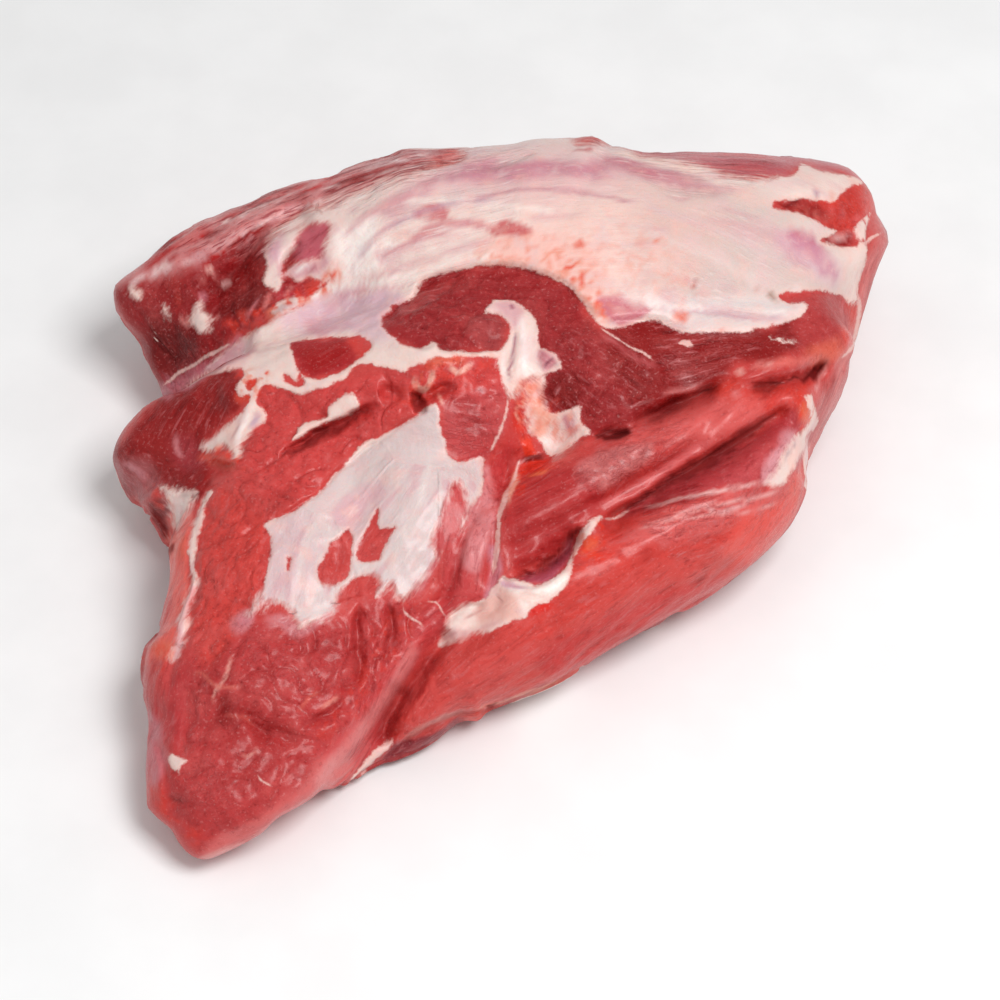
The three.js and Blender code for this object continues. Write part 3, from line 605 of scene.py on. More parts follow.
# Streaks and spots on the muscle, as on the fat.
MUSCLE_STREAKS = {
    "spot_top": (srgb(222, 70, 56), 5, 4, 1.0, [(428, 166), (440, 162), (450, 158), (464, 153)]),
    "spot_crest": (srgb(200, 70, 62), 4, 3, 0.7, [(566, 141), (580, 138), (594, 138), (608, 143)]),
    "left_spot_1": (srgb(190, 66, 60), 3, 4, 0.9, [(176, 296), (180, 302)]),
    "left_spot_2": (srgb(190, 70, 66), 2, 4, 0.9, [(146, 308), (149, 311)]),
    "left_spot_3": (srgb(176, 60, 58), 3, 6, 0.8, [(160, 285), (185, 280)]),
    "blood_1": (BLOOD, 4, 6, 0.9, [(238, 320), (250, 314)]),
    "blood_2": (srgb(232, 130, 105), 3, 5, 0.9, [(262, 318), (280, 312), (298, 303)]),
    "blood_3": (srgb(218, 62, 46), 4, 4, 0.95, [(304, 293), (314, 287), (326, 281)]),
    "blood_4": (srgb(160, 40, 46), 5, 6, 0.9, [(280, 290), (290, 284), (300, 288)]),
    "blood_5": (srgb(230, 74, 56), 4.5, 2.5, 0.9, [(522, 432), (526, 442), (531, 454), (538, 466)]),
    "blood_6": (srgb(214, 62, 52), 3, 5, 0.8, [(517, 408), (518, 424), (522, 436)]),
    "blood_7": (srgb(224, 92, 66), 5, 6, 0.85, [(592, 532), (590, 548), (586, 560)]),
    "blood_8": (srgb(214, 60, 50), 3, 6, 0.8, [(590, 560), (612, 558), (625, 562)]),
    "blood_9": (srgb(214, 50, 42), 3, 5, 0.9, [(524, 614), (545, 606), (556, 606)]),
    "blood_11": (srgb(206, 52, 44), 6, 8, 0.7, [(762, 402), (778, 408), (792, 404)]),
    "blood_12": (srgb(200, 56, 48), 5, 6, 0.7, [(842, 198), (858, 190), (866, 200)]),
    "orange_1": (srgb(224, 120, 96), 3, 5, 0.8, [(262, 368), (266, 372)]),
    "orange_2": (srgb(226, 110, 88), 3, 5, 0.8, [(420, 370), (436, 362), (454, 360), (472, 362)]),
    "orange_4": (srgb(226, 112, 90), 5, 8, 0.7, [(150, 656), (162, 650), (175, 655)]),
    "orange_6": (srgb(222, 108, 84), 6, 9, 0.6, [(800, 360), (830, 352), (850, 342)]),
    "orange_7": (srgb(226, 110, 92), 5, 8, 0.7, [(172, 560), (178, 545), (176, 530)]),
    "clot_light": (srgb(238, 172, 152), 2.5, 2.5, 0.9, [(504, 508), (510, 492), (516, 478), (520, 466)]),
    "sheer_tail": (srgb(214, 140, 142), 5, 8, 0.8, [(228, 632), (242, 622), (252, 612)]),
    "skin_veil": (srgb(212, 138, 142), 3, 7, 0.7, [(262, 628), (280, 620), (300, 630), (340, 600)]),
    "skin_veil_3": (srgb(206, 118, 122), 3, 7, 0.7, [(410, 600), (424, 575), (438, 548)]),
    "wall_glint": (srgb(222, 150, 156), 2, 6, 0.8, [(778, 436), (790, 440), (770, 462), (762, 474)]),
    "eye_glint": (srgb(200, 110, 108), 1, 3, 0.7, [(660, 398), (672, 391), (690, 388), (716, 384)]),
    "link_glint": (srgb(226, 160, 150), 2.5, 3, 0.8, [(738, 371), (744, 373)]),
    "lobe_glint": (srgb(206, 130, 134), 1, 3, 0.7, [(176, 430), (178, 448), (186, 462)]),
    "lobe_glint_2": (srgb(206, 140, 146), 1.2, 3, 0.7, [(118, 464), (135, 468), (150, 484)]),
    "band_glint": (srgb(220, 140, 138), 2, 8, 0.6, [(420, 640), (392, 688), (350, 744), (310, 790)]),
    "band_shade": (srgb(170, 62, 62), 3, 8, 0.7, [(440, 648), (410, 694), (388, 722), (374, 752)]),
    "sheet_glint": (srgb(222, 140, 136), 1, 3, 0.6, [(872, 252), (864, 290), (856, 330), (838, 380),
        (826, 410)]),
    "under_glint": (srgb(196, 124, 116), 1, 3, 0.7, [(400, 742), (430, 722), (470, 712)]),
    "slab_foot": (srgb(232, 150, 122), 0.8, 1.4, 0.5, [(470, 713), (520, 695), (567, 677), (617, 649),
        (652, 629)]),
    "blood_3_dark": (srgb(176, 34, 38), 2.5, 3, 0.9, [(295, 298), (302, 293)]),
    # Painted shade in the gap between the clots.
    "clot_gap_shade": (srgb(118, 14, 16), 2, 2, 0.95, [(520, 460), (530, 459), (540, 457), (548, 454)]),
    "sheet_glint_2": (srgb(176, 70, 70), 1, 3, 0.6, [(838, 366), (832, 390), (822, 414)]),
    "link_light": (srgb(220, 110, 102), 2, 4, 0.8, [(752, 368), (780, 363), (806, 360), (824, 354)]),
    "link_line": (srgb(232, 160, 152), 0.5, 2, 0.8, [(748, 367), (760, 364), (776, 364)]),
    "fringe": (srgb(226, 150, 150), 0.8, 2.5, 0.7, [(735, 384), (736, 392), (736, 400)]),
    "finger_stripe": (srgb(214, 130, 124), 1.2, 2.5, 0.8, [(272, 290), (268, 300), (262, 312)]),
    "finger_stripe_2": (srgb(222, 140, 136), 1, 2, 0.8, [(294, 284), (288, 292), (283, 300)]),
    "muscle_specks": (srgb(214, 140, 142), 0.8, 1.5, 0.7, [(554, 382), (558, 388), (556, 396)]),
    # A painted highlight on the clot's ring.
    "ring": (srgb(242, 120, 84), 1.2, 1.6, 0.9, [(524, 476), (534, 474), (544, 472), (552, 466)]),
    "lilac_tail": (srgb(212, 130, 142), 2, 9, 0.6, [(232, 636), (246, 618), (256, 606)]),
    "arm_side": (srgb(196, 92, 94), 1.5, 3, 0.6, [(598, 330), (624, 350), (646, 362), (664, 368)]),
    "nodule_ring": (srgb(216, 132, 128), 1.2, 2, 0.85, [(204, 288), (203, 278), (209, 271), (216, 276),
        (219, 285)]),
    "nodule_light": (srgb(236, 186, 176), 1.2, 1.5, 0.9, [(206, 273), (210, 270), (214, 272)]),
    "nodule_low": (srgb(228, 176, 172), 1.6, 2, 0.9, [(219, 287), (226, 282), (234, 281)]),
    "nodule_tail": (srgb(206, 130, 140), 2, 3, 0.8, [(204, 290), (203, 298), (200, 306)]),
    "nodule_side": (srgb(216, 140, 134), 1.5, 2, 0.8, [(178, 321), (188, 322), (196, 322)]),
    "nodule_side_2": (srgb(212, 120, 116), 1.5, 2, 0.8, [(206, 322), (216, 318), (222, 316)]),
    "left_thread": (srgb(206, 120, 124), 0.8, 1.6, 0.8, [(262, 292), (255, 304), (246, 318), (238, 328)]),
    "strip_edge": (srgb(190, 28, 26), 5, 3, 1.0, [(136, 272), (164, 249), (186, 237), (216, 223)]),
    "strip_edge_2": (srgb(198, 60, 58), 4, 3, 0.9, [(212, 224), (240, 212), (268, 200), (292, 190)]),
    "strip_bright": (srgb(200, 34, 30), 3.5, 2.5, 1.0, [(286, 195), (306, 187), (328, 181), (352, 174)]),
    "strip_pale_1": (srgb(244, 208, 204), 1.4, 1.2, 1.0, [(148, 274), (170, 262), (196, 249), (220, 238)]),
    "strip_pale_2": (srgb(236, 196, 194), 1.1, 1.2, 1.0, [(122, 287), (140, 279), (166, 268), (196, 258)]),
    "strip_pale_3": (srgb(238, 200, 196), 1.1, 1.2, 1.0, [(210, 229), (240, 216), (270, 204), (290, 198)]),
    "strip_pale_4": (srgb(238, 198, 196), 1.1, 1.2, 1.0, [(226, 243), (254, 228), (284, 213), (330, 198)]),
    "strip_pale_5": (srgb(242, 210, 206), 1.4, 1.2, 1.0, [(318, 192), (350, 183), (390, 172), (432, 162)]),
    "strip_pale_6": (srgb(224, 170, 168), 0.8, 1.6, 0.8, [(250, 211), (280, 198), (300, 189), (330, 178)]),
    "strip_pale_7": (srgb(238, 202, 200), 1.1, 1.2, 1.0, [(356, 171), (384, 163), (410, 157), (436, 154)]),
    "strip_red_1": (srgb(176, 28, 30), 2, 2, 0.95, [(198, 266), (226, 250), (254, 234), (276, 224)]),
    "strip_red_2": (srgb(182, 44, 46), 1.6, 1.6, 0.9, [(160, 265), (190, 252), (222, 236), (258, 218)]),
    "strip_red_3": (srgb(188, 40, 40), 2, 2, 0.95, [(340, 181), (370, 172), (400, 164), (430, 158)]),
    "strip_red_4": (srgb(176, 40, 42), 1.6, 2, 0.9, [(330, 188), (356, 181), (390, 175), (414, 168)]),
    # The dark outline of the hole at the right end, in this and the next two entries, is painted shade.
    "triangle_left": (srgb(132, 22, 26), 1.0, 1.3, 0.95, [(820, 241), (829, 237), (836, 230), (840, 223)]),
    "triangle_right": (srgb(150, 30, 32), 1.4, 1.3, 0.95, [(844, 224), (848, 233), (853, 240), (859, 245)]),
    "triangle_foot": (srgb(138, 26, 28), 1.0, 1.3, 0.95, [(822, 243), (836, 246), (848, 246), (860, 246)]),
    "triangle_light": (srgb(236, 186, 182), 1.3, 1.6, 0.95, [(829, 241), (838, 239), (848, 241)]),
    "red_patch_dark": (srgb(128, 22, 26), 1.4, 2, 0.9, [(775, 204), (788, 205), (798, 201), (812, 205)]),
    "red_patch_light": (srgb(220, 110, 100), 0.8, 1.5, 0.8, [(790, 208), (806, 208), (822, 215), (836, 218)]),
    "red_patch_light_2": (srgb(216, 104, 104), 1, 2, 0.8, [(826, 205), (840, 212), (856, 219), (864, 214)]),
    "curl_strip": (srgb(240, 184, 166), 2.2, 2, 0.95, [(418, 374), (414, 381), (418, 388), (426, 388),
        (432, 378), (436, 364)]),
    "curl_strip_dark": (srgb(214, 84, 70), 0.8, 1.4, 0.9, [(424, 370), (421, 377), (424, 383)]),
    "curl_strip_2": (srgb(238, 176, 160), 1.6, 2, 0.9, [(446, 362), (456, 372), (466, 368), (472, 358)]),
    "curl_strip_3": (srgb(236, 170, 156), 0.9, 1.4, 0.9, [(437, 392), (441, 398), (443, 406)]),
    "curl_glint": (srgb(232, 170, 172), 1.6, 2.4, 0.85, [(476, 386), (482, 390), (486, 388)]),
    "blood_10": (srgb(222, 64, 52), 4.5, 2.5, 0.9, [(512, 474), (526, 468), (540, 466), (562, 462)]),
    "clot_net": (srgb(234, 158, 138), 0.9, 1.6, 0.85, [(514, 396), (518, 404), (515, 414), (521, 422),
        (519, 432)]),
    "clot_net_2": (srgb(236, 150, 128), 0.8, 1.4, 0.85, [(520, 390), (524, 400), (520, 410)]),
    # A painted highlight along the roll above the pocket.
    "roll_highlight": (srgb(216, 106, 106), 2, 5, 0.7, [(596, 506), (630, 492), (660, 472), (690, 452),
        (716, 438)]),
    # Pale veil lines on top of the slab, in this and the next three entries, partly painted wet highlights.
    "slab_ridge": (srgb(236, 188, 184), 0.8, 1.8, 0.85, [(640, 510), (676, 501), (720, 491), (760, 484),
        (786, 481)]),
    "slab_ridge_2": (srgb(230, 170, 166), 0.7, 1.8, 0.8, [(655, 524), (700, 508), (744, 500), (784, 490)]),
    "slab_ridge_3": (srgb(228, 160, 156), 0.7, 1.8, 0.75, [(634, 530), (668, 520), (706, 516), (752, 512),
        (782, 500)]),
    "slab_ridge_4": (srgb(230, 176, 174), 0.6, 1.6, 0.75, [(690, 502), (720, 512), (752, 502)]),
    "face_line": (srgb(232, 164, 152), 0.8, 1.6, 0.75, [(234, 652), (227, 670), (221, 684), (214, 694),
        (214, 706)]),
    "face_line_2": (srgb(226, 124, 110), 0.8, 2, 0.55, [(190, 675), (202, 673), (213, 684), (230, 687),
        (246, 684)]),
    "tear_rim": (srgb(222, 104, 94), 1, 2, 0.5, [(222, 714), (234, 716), (246, 718), (254, 730)]),
    "tear_rim_2": (srgb(226, 112, 98), 1, 2, 0.5, [(296, 716), (308, 700), (318, 692), (324, 696)]),
    "tear_piece": (srgb(236, 150, 138), 1.6, 1.6, 0.8, [(318, 710), (326, 704), (334, 699), (340, 694)]),
    "flake_1": (srgb(232, 160, 150), 0.7, 1.4, 0.85, [(240, 756), (250, 754), (256, 750), (262, 754)]),
    "under_clot": (srgb(216, 62, 48), 3, 3, 0.95, [(456, 724), (470, 720), (482, 716), (494, 708)]),
    "tail_low": (srgb(232, 186, 180), 0.9, 1.6, 0.9, [(180, 391), (196, 381), (208, 374), (228, 368)]),
    "tail_mid": (srgb(182, 84, 96), 2, 2.5, 0.8, [(164, 392), (184, 379), (204, 366), (226, 354)]),
}
# Creases: depth in millimetres, how far in pixels the hollow reaches to the left and right of the route, the lift
# by which the skin on the right stands up, in millimetres, over how many pixels that fades, how much painted
# shade darkens the crease, and the route. Where the depth is below 0, it's the height of a ridge.
CREASES = {
    "back_groove": (8, 10, 12, -2, 40, 0.2, [(200, 298), (224, 278), (246, 256), (262, 240), (284, 226),
        (316, 212)]),
    "left_hollow": (5, 16, 12, 0, 1, 0.0, [(160, 384), (176, 358), (182, 335)]),
    "left_pit": (4, 9, 9, 0, 1, 0.2, [(222, 312), (240, 296), (262, 286)]),
    "saddle_edge": (4, 10, 4, 3, 30, 0.2, [(160, 388), (190, 371), (218, 354), (250, 330), (276, 312),
        (300, 296)]),
    "saddle_foot": (1.5, 3, 8, 0, 1, 0.2, [(162, 400), (190, 386), (215, 374), (242, 370)]),
    "left_lobe_hole": (3, 14, 10, 0, 1, 0.0, [(196, 406), (212, 403), (228, 398)]),
    "bay": (6, 9, 9, 0, 1, 0.35, [(150, 508), (164, 524), (170, 548)]),
    "under_lobe": (4, 6, 6, 0, 1, 0.3, [(168, 500), (198, 492), (218, 470), (238, 462)]),
    "left_seam": (2.5, 5, 6, 1.5, 26, 0.0, [(214, 478), (201, 500), (194, 530), (190, 560), (193, 590),
        (183, 630), (174, 658), (168, 700)]),
    "eye_rim": (2.0, 2.5, 12, -2.5, 40, 0.12, [(384, 330), (383, 316), (414, 297), (425, 281), (470, 269),
        (500, 265), (532, 271), (562, 283), (580, 300), (598, 323)]),
    "eye_floor": (2, 8, 2.5, 2, 20, 0.1, [(390, 338), (420, 349), (438, 343), (444, 351), (496, 351)]),
    "eye_end": (1.6, 4, 4, 2.2, 16, 0.3, [(466, 349), (463, 332), (474, 317), (490, 313), (504, 322),
        (508, 334)]),
    "hook_side": (2, 8, 3, 1.5, 14, 0.15, [(540, 372), (541, 345), (534, 314), (516, 300), (494, 298)]),
    "arm_line": (1.2, 4, 4, 1, 20, 0.0, [(594, 322), (628, 347), (658, 364)]),
    "fat_edge": (1.0, 2.5, 8, -2.0, 24, 0.08, [(600, 322), (655, 320), (690, 334), (748, 334), (785, 322),
        (808, 311)]),
    "fat_edge_right": (1.0, 2.5, 8, -1.8, 20, 0.08, [(779, 299), (815, 290), (845, 298), (858, 312)]),
    "right_tear": (4.5, 3, 9, 0, 1, 0.25, [(774, 205), (800, 202), (824, 206)]),
    "right_hole": (3, 3, 6, 0, 1, 0.05, [(828, 240), (842, 241), (854, 243)]),
    "right_hole_2": (3, 3, 4, 0, 1, 0.05, [(841, 238), (844, 228)]),
    "right_fold": (3, 6, 4, 2, 18, 0.15, [(874, 208), (866, 230), (866, 256), (859, 280), (857, 320),
        (850, 350), (826, 380), (812, 396)]),
    "cleft_1": (6, 3, 12, 0, 1, 0.2, [(596, 432), (612, 430), (632, 429)]),
    "cleft_2": (9, 3, 16, -2, 34, 0.3, [(630, 427), (652, 413), (672, 400), (692, 393), (720, 384)]),
    "cleft_3": (9, 3, 11, 0, 1, 0.3, [(746, 384), (775, 382), (800, 374), (815, 368), (828, 360)]),
    "cleft_soft": (4, 6, 26, 0, 1, 0.15, [(580, 438), (640, 420), (720, 386), (760, 388), (830, 364)]),
    "pocket": (12, 5, 14, -3, 26, 0.25, [(600, 524), (620, 514), (645, 500), (666, 484), (700, 464),
        (730, 449), (762, 424), (792, 406)]),
    "pocket_soft": (3, 20, 24, 0, 1, 0.15, [(590, 524), (650, 494), (700, 462), (760, 424), (800, 402)]),
    "pocket_left": (9, 14, 6, 0, 1, 0.2, [(512, 581), (530, 572), (550, 563), (566, 550), (584, 530)]),
    "pocket_lip": (2, 3, 4, 3.5, 22, 0.05, [(500, 582), (530, 588), (560, 574), (574, 552), (588, 522),
        (602, 516)]),
    "slab_edge": (0.5, 4, 6, 2.2, 26, 0.0, [(602, 516), (660, 506), (725, 492), (788, 483)]),
    "rim": (2.5, 4, 6, -3, 12, 0.1, [(802, 396), (796, 420), (800, 440), (788, 462), (776, 480)]),
    "rim_outside": (3, 5, 4, 0, 1, 0.2, [(812, 394), (819, 416), (812, 436), (804, 456)]),
    "front_seam": (8, 7, 14, 0, 1, 0.15, [(452, 628), (438, 646), (422, 668), (404, 694), (388, 722),
        (377, 750)]),
    "front_seam_low": (5, 5, 14, 0, 1, 0.15, [(410, 684), (398, 700), (388, 716), (380, 736)]),
    "fat_over_seam": (2, 3, 5, -2.0, 16, 0.05, [(446, 628), (456, 612), (490, 602)]),
    "under_edge": (3, 2.5, 6, 0, 1, 0.3, [(380, 762), (410, 738), (450, 716), (486, 710), (520, 699),
        (560, 681), (640, 635)]),
    "plateau_tear": (5, 3, 9, -1.5, 16, 0.15, [(284, 452), (302, 439), (324, 428), (345, 420), (364, 408),
        (380, 404)]),
    "tear_hole_1": (6, 8, 8, 0, 1, 0.1, [(376, 392), (392, 394), (400, 404)]),
    "tear_hole_2": (7, 7, 7, 0, 1, 0.2, [(416, 386), (420, 398), (414, 410)]),
    "tear_hole_3": (5, 6, 7, 0, 1, 0.15, [(424, 396), (442, 388), (456, 386)]),
    "skin_edge": (1.2, 3, 3, -1.2, 18, 0.05, [(264, 523), (310, 500), (340, 470), (385, 435), (437, 405)]),
    "skin_hole": (1.5, 8, 8, 0, 1, 0.05, [(335, 545), (334, 572)]),
    "inner_fold": (3, 5, 5, -1.2, 18, 0.1, [(512, 446), (504, 480), (498, 510), (494, 545), (490, 590)]),
    "middle_fold": (2.5, 5, 5, 0, 1, 0.15, [(484, 496), (472, 520), (462, 548), (448, 590), (432, 606)]),
    "face_tear_1": (3.5, 8, 4, 0, 1, 0.1, [(362, 606), (356, 630), (360, 660), (352, 684)]),
    "face_tear_2": (4, 8, 5, 0, 1, 0.1, [(388, 604), (392, 630), (388, 660)]),
    "face_tear_3": (3.5, 10, 5, 0, 1, 0.1, [(346, 672), (348, 694), (330, 712), (306, 722)]),
    "face_tear_4": (4, 10, 5, 0, 1, 0.15, [(236, 706), (252, 722), (272, 734), (300, 746)]),
    "face_tear_5": (2.5, 5, 7, 0, 1, 0.12, [(186, 680), (188, 720), (186, 760)]),
    "face_hole": (3.5, 9, 9, 0, 1, 0.2, [(216, 704), (228, 706)]),
    "left_edge_fold": (2, 5, 5, -1.2, 16, 0.1, [(150, 728), (164, 760), (172, 800), (180, 822)]),
    "band_ridge": (-2.0, 10, 12, 0, 1, 0.0, [(432, 618), (404, 668), (366, 728), (316, 780), (268, 822)]),
    "strip_fold_1": (1.4, 4, 4, 0, 1, 0.1, [(150, 262), (200, 236), (260, 210), (330, 186), (420, 162)]),
    "strip_fold_2": (1.4, 4, 4, 0, 1, 0.1, [(170, 268), (220, 246), (262, 226), (320, 202), (400, 176)]),
    "inner_groove": (3, 8, 8, 0, 1, 0.1, [(506, 556), (560, 520), (620, 492), (680, 458), (712, 440)]),
    "top_groove": (2.4, 6, 8, 0, 1, 0.1, [(690, 448), (712, 420), (730, 398), (736, 384)]),
    "crest_fold": (1.4, 5, 5, -1, 20, 0.0, [(604, 146), (650, 160), (700, 174), (740, 196)]),
    "finger_1": (-1.6, 6, 7, 0, 1, 0.0, [(298, 222), (280, 236), (270, 256), (268, 280)]),
    "finger_gap": (1.8, 6, 6, 0, 1, 0.1, [(300, 238), (292, 256), (282, 276)]),
    "finger_2": (-1.2, 7, 9, 0, 1, 0.0, [(346, 222), (332, 238), (330, 262), (336, 284)]),
    "skin_ripple_1": (0.9, 5, 6, 0, 1, 0.0, [(350, 290), (400, 262), (460, 240), (520, 236)]),
    "skin_ripple_2": (0.9, 6, 6, 0, 1, 0.0, [(340, 262), (372, 226), (420, 196), (480, 186)]),
    "nodule_1": (-2.0, 7, 7, 0, 1, 0.0, [(134, 288), (138, 298)]),
    "nodule_3": (-2.0, 8, 8, 0, 1, 0.0, [(200, 306), (204, 326)]),
    "island": (-1.4, 10, 10, 0, 1, 0.0, [(308, 366), (326, 352), (352, 346)]),
    "arm_lobe": (1.8, 4, 4, 0, 1, 0.3, [(544, 376), (552, 366), (564, 366), (574, 376), (580, 392)]),
    "strip_fold_3": (1.6, 4, 4, 0, 1, 0.2, [(206, 268), (240, 244), (276, 224), (306, 210)]),
    "hook_fold": (1.2, 2.5, 2.5, 0, 1, 0.12, [(508, 306), (518, 330), (512, 356), (508, 388)]),
    "lip_fold_1": (1.2, 2.5, 3, 0, 1, 0.1, [(496, 592), (520, 594), (546, 600)]),
    "lip_fold_2": (1.0, 2.5, 3, 0, 1, 0.1, [(462, 622), (486, 616), (506, 602)]),
    "slab_wrinkle_1": (0.8, 3, 3, 0, 1, 0.08, [(630, 540), (680, 520), (740, 506), (786, 496)]),
    "slab_wrinkle_2": (0.8, 3, 3, 0, 1, 0.08, [(650, 556), (700, 540), (750, 522)]),
    "slab_wrinkle_3": (0.8, 3, 3, 0, 1, 0.1, [(470, 660), (520, 640), (580, 604), (610, 580)]),
    "finger_3": (-1.4, 5, 6, 0, 1, 0.0, [(400, 372), (424, 376), (440, 362), (470, 358)]),
    "hook_groove": (2.0, 2.5, 2.5, 0, 1, 0.1, [(512, 322), (515, 342), (511, 362), (512, 386)]),
    "clot_ridge": (-1.6, 5, 6, 0, 1, 0.0, [(530, 392), (538, 412), (534, 436), (552, 448), (568, 444)]),
    "clot_bead": (-2.6, 5, 5, 0, 1, 0.0, [(522, 440), (527, 448), (530, 456)]),
    "fork_ridge": (-1.8, 5, 6, 0, 1, 0.0, [(254, 396), (248, 414), (238, 432), (234, 454)]),
    "knob": (-2.4, 6, 7, 0, 1, 0.0, [(206, 456), (220, 454), (238, 462)]),
    "seam_ridge": (-0.8, 4, 4, 0, 1, 0.0, [(206, 498), (198, 524), (191, 552), (193, 578), (186, 612),
        (176, 656)]),
    "ridge": (-1.2, 4, 5, 0, 1, 0.0, [(274, 312), (288, 304), (302, 298)]),
    "clot_bead_2": (-3.0, 6, 6, 0, 1, 0.0, [(524, 468), (536, 467), (548, 463)]),
    "under_bead": (-2.0, 5, 5, 0, 1, 0.0, [(462, 722), (474, 719), (486, 714)]),
}
# Hollows with painted shade in them: depth in millimetres, softness of the edge in pixels, how much painted
# shade, and the outline.
HOLLOWS = {
    "under_arm": (4, 2.0, 0.85, [(596, 437), (604, 433), (615, 431), (627, 429), (631, 432), (620, 437),
        (606, 440)]),
    "under_arm_right": (3, 3, 0.5, [(640, 422), (654, 412), (670, 403), (690, 394), (714, 384), (724, 384),
        (706, 395), (688, 403), (670, 413), (654, 422)]),
    "slit": (6, 2, 0.85, [(803, 380), (811, 369), (822, 363), (830, 361), (825, 370), (818, 379),
        (810, 382)]),
    "slit_left": (4, 3, 0.5, [(749, 389), (756, 382), (778, 380), (804, 373), (808, 379), (785, 386),
        (765, 392)]),
    "pocket": (6, 2.4, 0.66, [(618, 514), (642, 497), (668, 478), (692, 462), (716, 448), (738, 434),
        (756, 422), (776, 411), (762, 428), (742, 446), (720, 464), (698, 476), (670, 488), (640, 506)]),
    "pocket_left": (5, 3, 0.55, [(503, 581), (522, 575), (540, 566), (553, 553), (566, 540), (581, 526),
        (575, 542), (560, 559), (540, 573), (520, 580)]),
    "seam": (2, 6, 0.3, [(384, 742), (398, 712), (414, 688), (430, 662), (442, 646), (454, 644), (446, 656),
        (432, 674), (414, 702), (396, 736)]),
    "under_strip": (3, 3, 0.5, [(366, 409), (352, 414), (334, 424), (318, 427), (307, 435), (298, 443),
        (286, 450), (279, 460), (292, 456), (304, 449), (316, 442), (332, 436), (350, 424)]),
    "tear_right": (3, 2.5, 0.5, [(412, 394), (419, 397), (425, 404), (424, 411), (416, 415), (411, 408)]),
    "left_groove": (3, 4, 0.6, [(232, 280), (243, 256), (254, 243), (264, 235), (276, 227), (270, 238),
        (258, 248), (250, 260), (240, 276)]),
    "under_knob": (3, 4, 0.35, [(204, 462), (220, 461), (236, 468), (224, 472), (210, 470)]),
    "notch": (1, 2, 0.12, [(779, 295), (788, 291), (793, 299), (786, 303), (780, 300)]),
    "bay_hole": (2, 1.8, 0.6, [(170, 543), (174, 546), (173, 553), (169, 559), (168, 551)]),
    "finger_wedge": (3, 2.5, 0.5, [(300, 240), (301, 248), (293, 260), (285, 271), (284, 265), (291, 252)]),
    "red_patch": (2, 3, 0.3, [(788, 206), (800, 201), (818, 204), (819, 212), (800, 211)]),
    "under_hole": (1, 1.6, 0.7, [(486, 706), (493, 702), (498, 700), (492, 708)]),
    "face_tear_1": (2, 4, 0.25, [(356, 606), (362, 616), (358, 640), (366, 668), (356, 690), (350, 660),
        (354, 636)]),
    "face_tear_2": (2, 4, 0.28, [(386, 606), (393, 616), (392, 640), (386, 664), (382, 650), (388, 632)]),
    "face_tear_3": (2, 4, 0.25, [(336, 704), (344, 700), (336, 716), (318, 724), (300, 730), (306, 720),
        (322, 714)]),
    "face_tear_4": (2, 4, 0.22, [(248, 722), (262, 728), (276, 746), (262, 744), (250, 732)]),
    "right_triangle": (2.5, 1.5, 0.25, [(824, 242), (834, 235), (841, 226), (847, 232), (855, 243),
        (842, 245)]),
    "tear_band": (2, 2.5, 0.35, [(424, 392), (440, 387), (456, 384), (452, 391), (438, 395), (426, 398)]),
}
# Muscle fibres: where in the photo, the way they run in degrees up from the right, and how clear they are.
FIBRE_PLACES = {
    "left_strips": (230, 226, 28, 2.0), "top_strips": (400, 165, 20, 2.0), "left_face": (205, 305, 40, 0.4),
    "cap_left": (430, 235, 14, 1.2), "cap_middle": (600, 250, 4, 0.6), "cap_right": (760, 250, -24, 0.9),
    "cap_lower": (720, 300, -8, 0.9), "crest": (720, 165, -6, 1.4), "right_red": (820, 210, -12, 0.5),
    "saddle": (330, 300, 36, 0.8), "saddle_low": (210, 370, 28, 0.8), "eye": (520, 300, -12, 0.3),
    "arm": (590, 370, -36, 0.7), "left_lobe": (180, 430, 62, 0.8), "lobe_foot": (160, 480, -20, 0.7),
    "dark_right": (710, 352, 14, 1.2), "far_right": (820, 330, 30, 0.5), "link": (740, 392, 40, 0.6),
    "plateau_left": (285, 420, 30, 0.3), "plateau": (420, 400, -8, 0.3), "plateau_foot": (330, 460, 52, 0.4),
    "silverskin": (400, 520, 56, 0.8), "skin_left": (290, 560, 74, 0.8), "left_edge": (180, 560, 82, 0.7),
    "front_left": (225, 560, 66, 0.6), "middle_strip": (480, 520, 80, 0.9), "inner_low": (540, 510, 28, 0.7),
    "inner_high": (660, 440, 30, 0.8), "wall": (740, 465, 34, 0.8), "slab_top": (700, 515, 16, 1.1),
    "slab": (620, 590, 30, 0.7), "slab_right": (770, 530, 26, 0.7), "slab_left": (470, 670, 36, 0.7),
    "front_top": (320, 660, 40, 0.2), "front": (270, 740, 48, 0.2), "band": (390, 700, 62, 0.9),
    "foot": (220, 810, 30, 0.3), "front_edge": (155, 740, 86, 0.6), "sheet": (860, 310, 78, 0.9),
    "sheet_low": (830, 400, 62, 0.9),
}
# The same on the hidden sides: places on a box round the meat, from -1 to 1 across it and 0 to 1 up it, and the
# fibres' direction in space.
HIDDEN_FIBRE_PLACES = {
    "back_left": ((-0.6, 1.0, 0.5), (0.9, 0.2, 0.4)),
    "back": ((0.0, 1.0, 0.5), (1.0, 0.0, -0.1)),
    "back_right": ((0.7, 1.0, 0.5), (0.8, -0.5, 0.2)),
    "right": ((1.0, 0.2, 0.4), (0.2, 0.9, 0.4)),
    "left": ((-1.0, 0.3, 0.4), (0.1, 0.7, 0.7)),
    "under_left": ((-0.5, 0.0, 0.0), (0.5, 0.9, 0.0)),
    "under_middle": ((0.1, 0.4, 0.0), (0.9, 0.4, 0.0)),
    "under_right": ((0.6, 0.2, 0.0), (0.7, -0.7, 0.0)),
}
HIDDEN_FIBRES_CLEAR = 0.6
FIBRE_STRETCH = 7  # how many times longer than wide the threads are
MEETING_WIDTH = 4  # how far, in points of the skin, the fibres fade where two flows meet
MEETING_FADE = (0.3, 1)

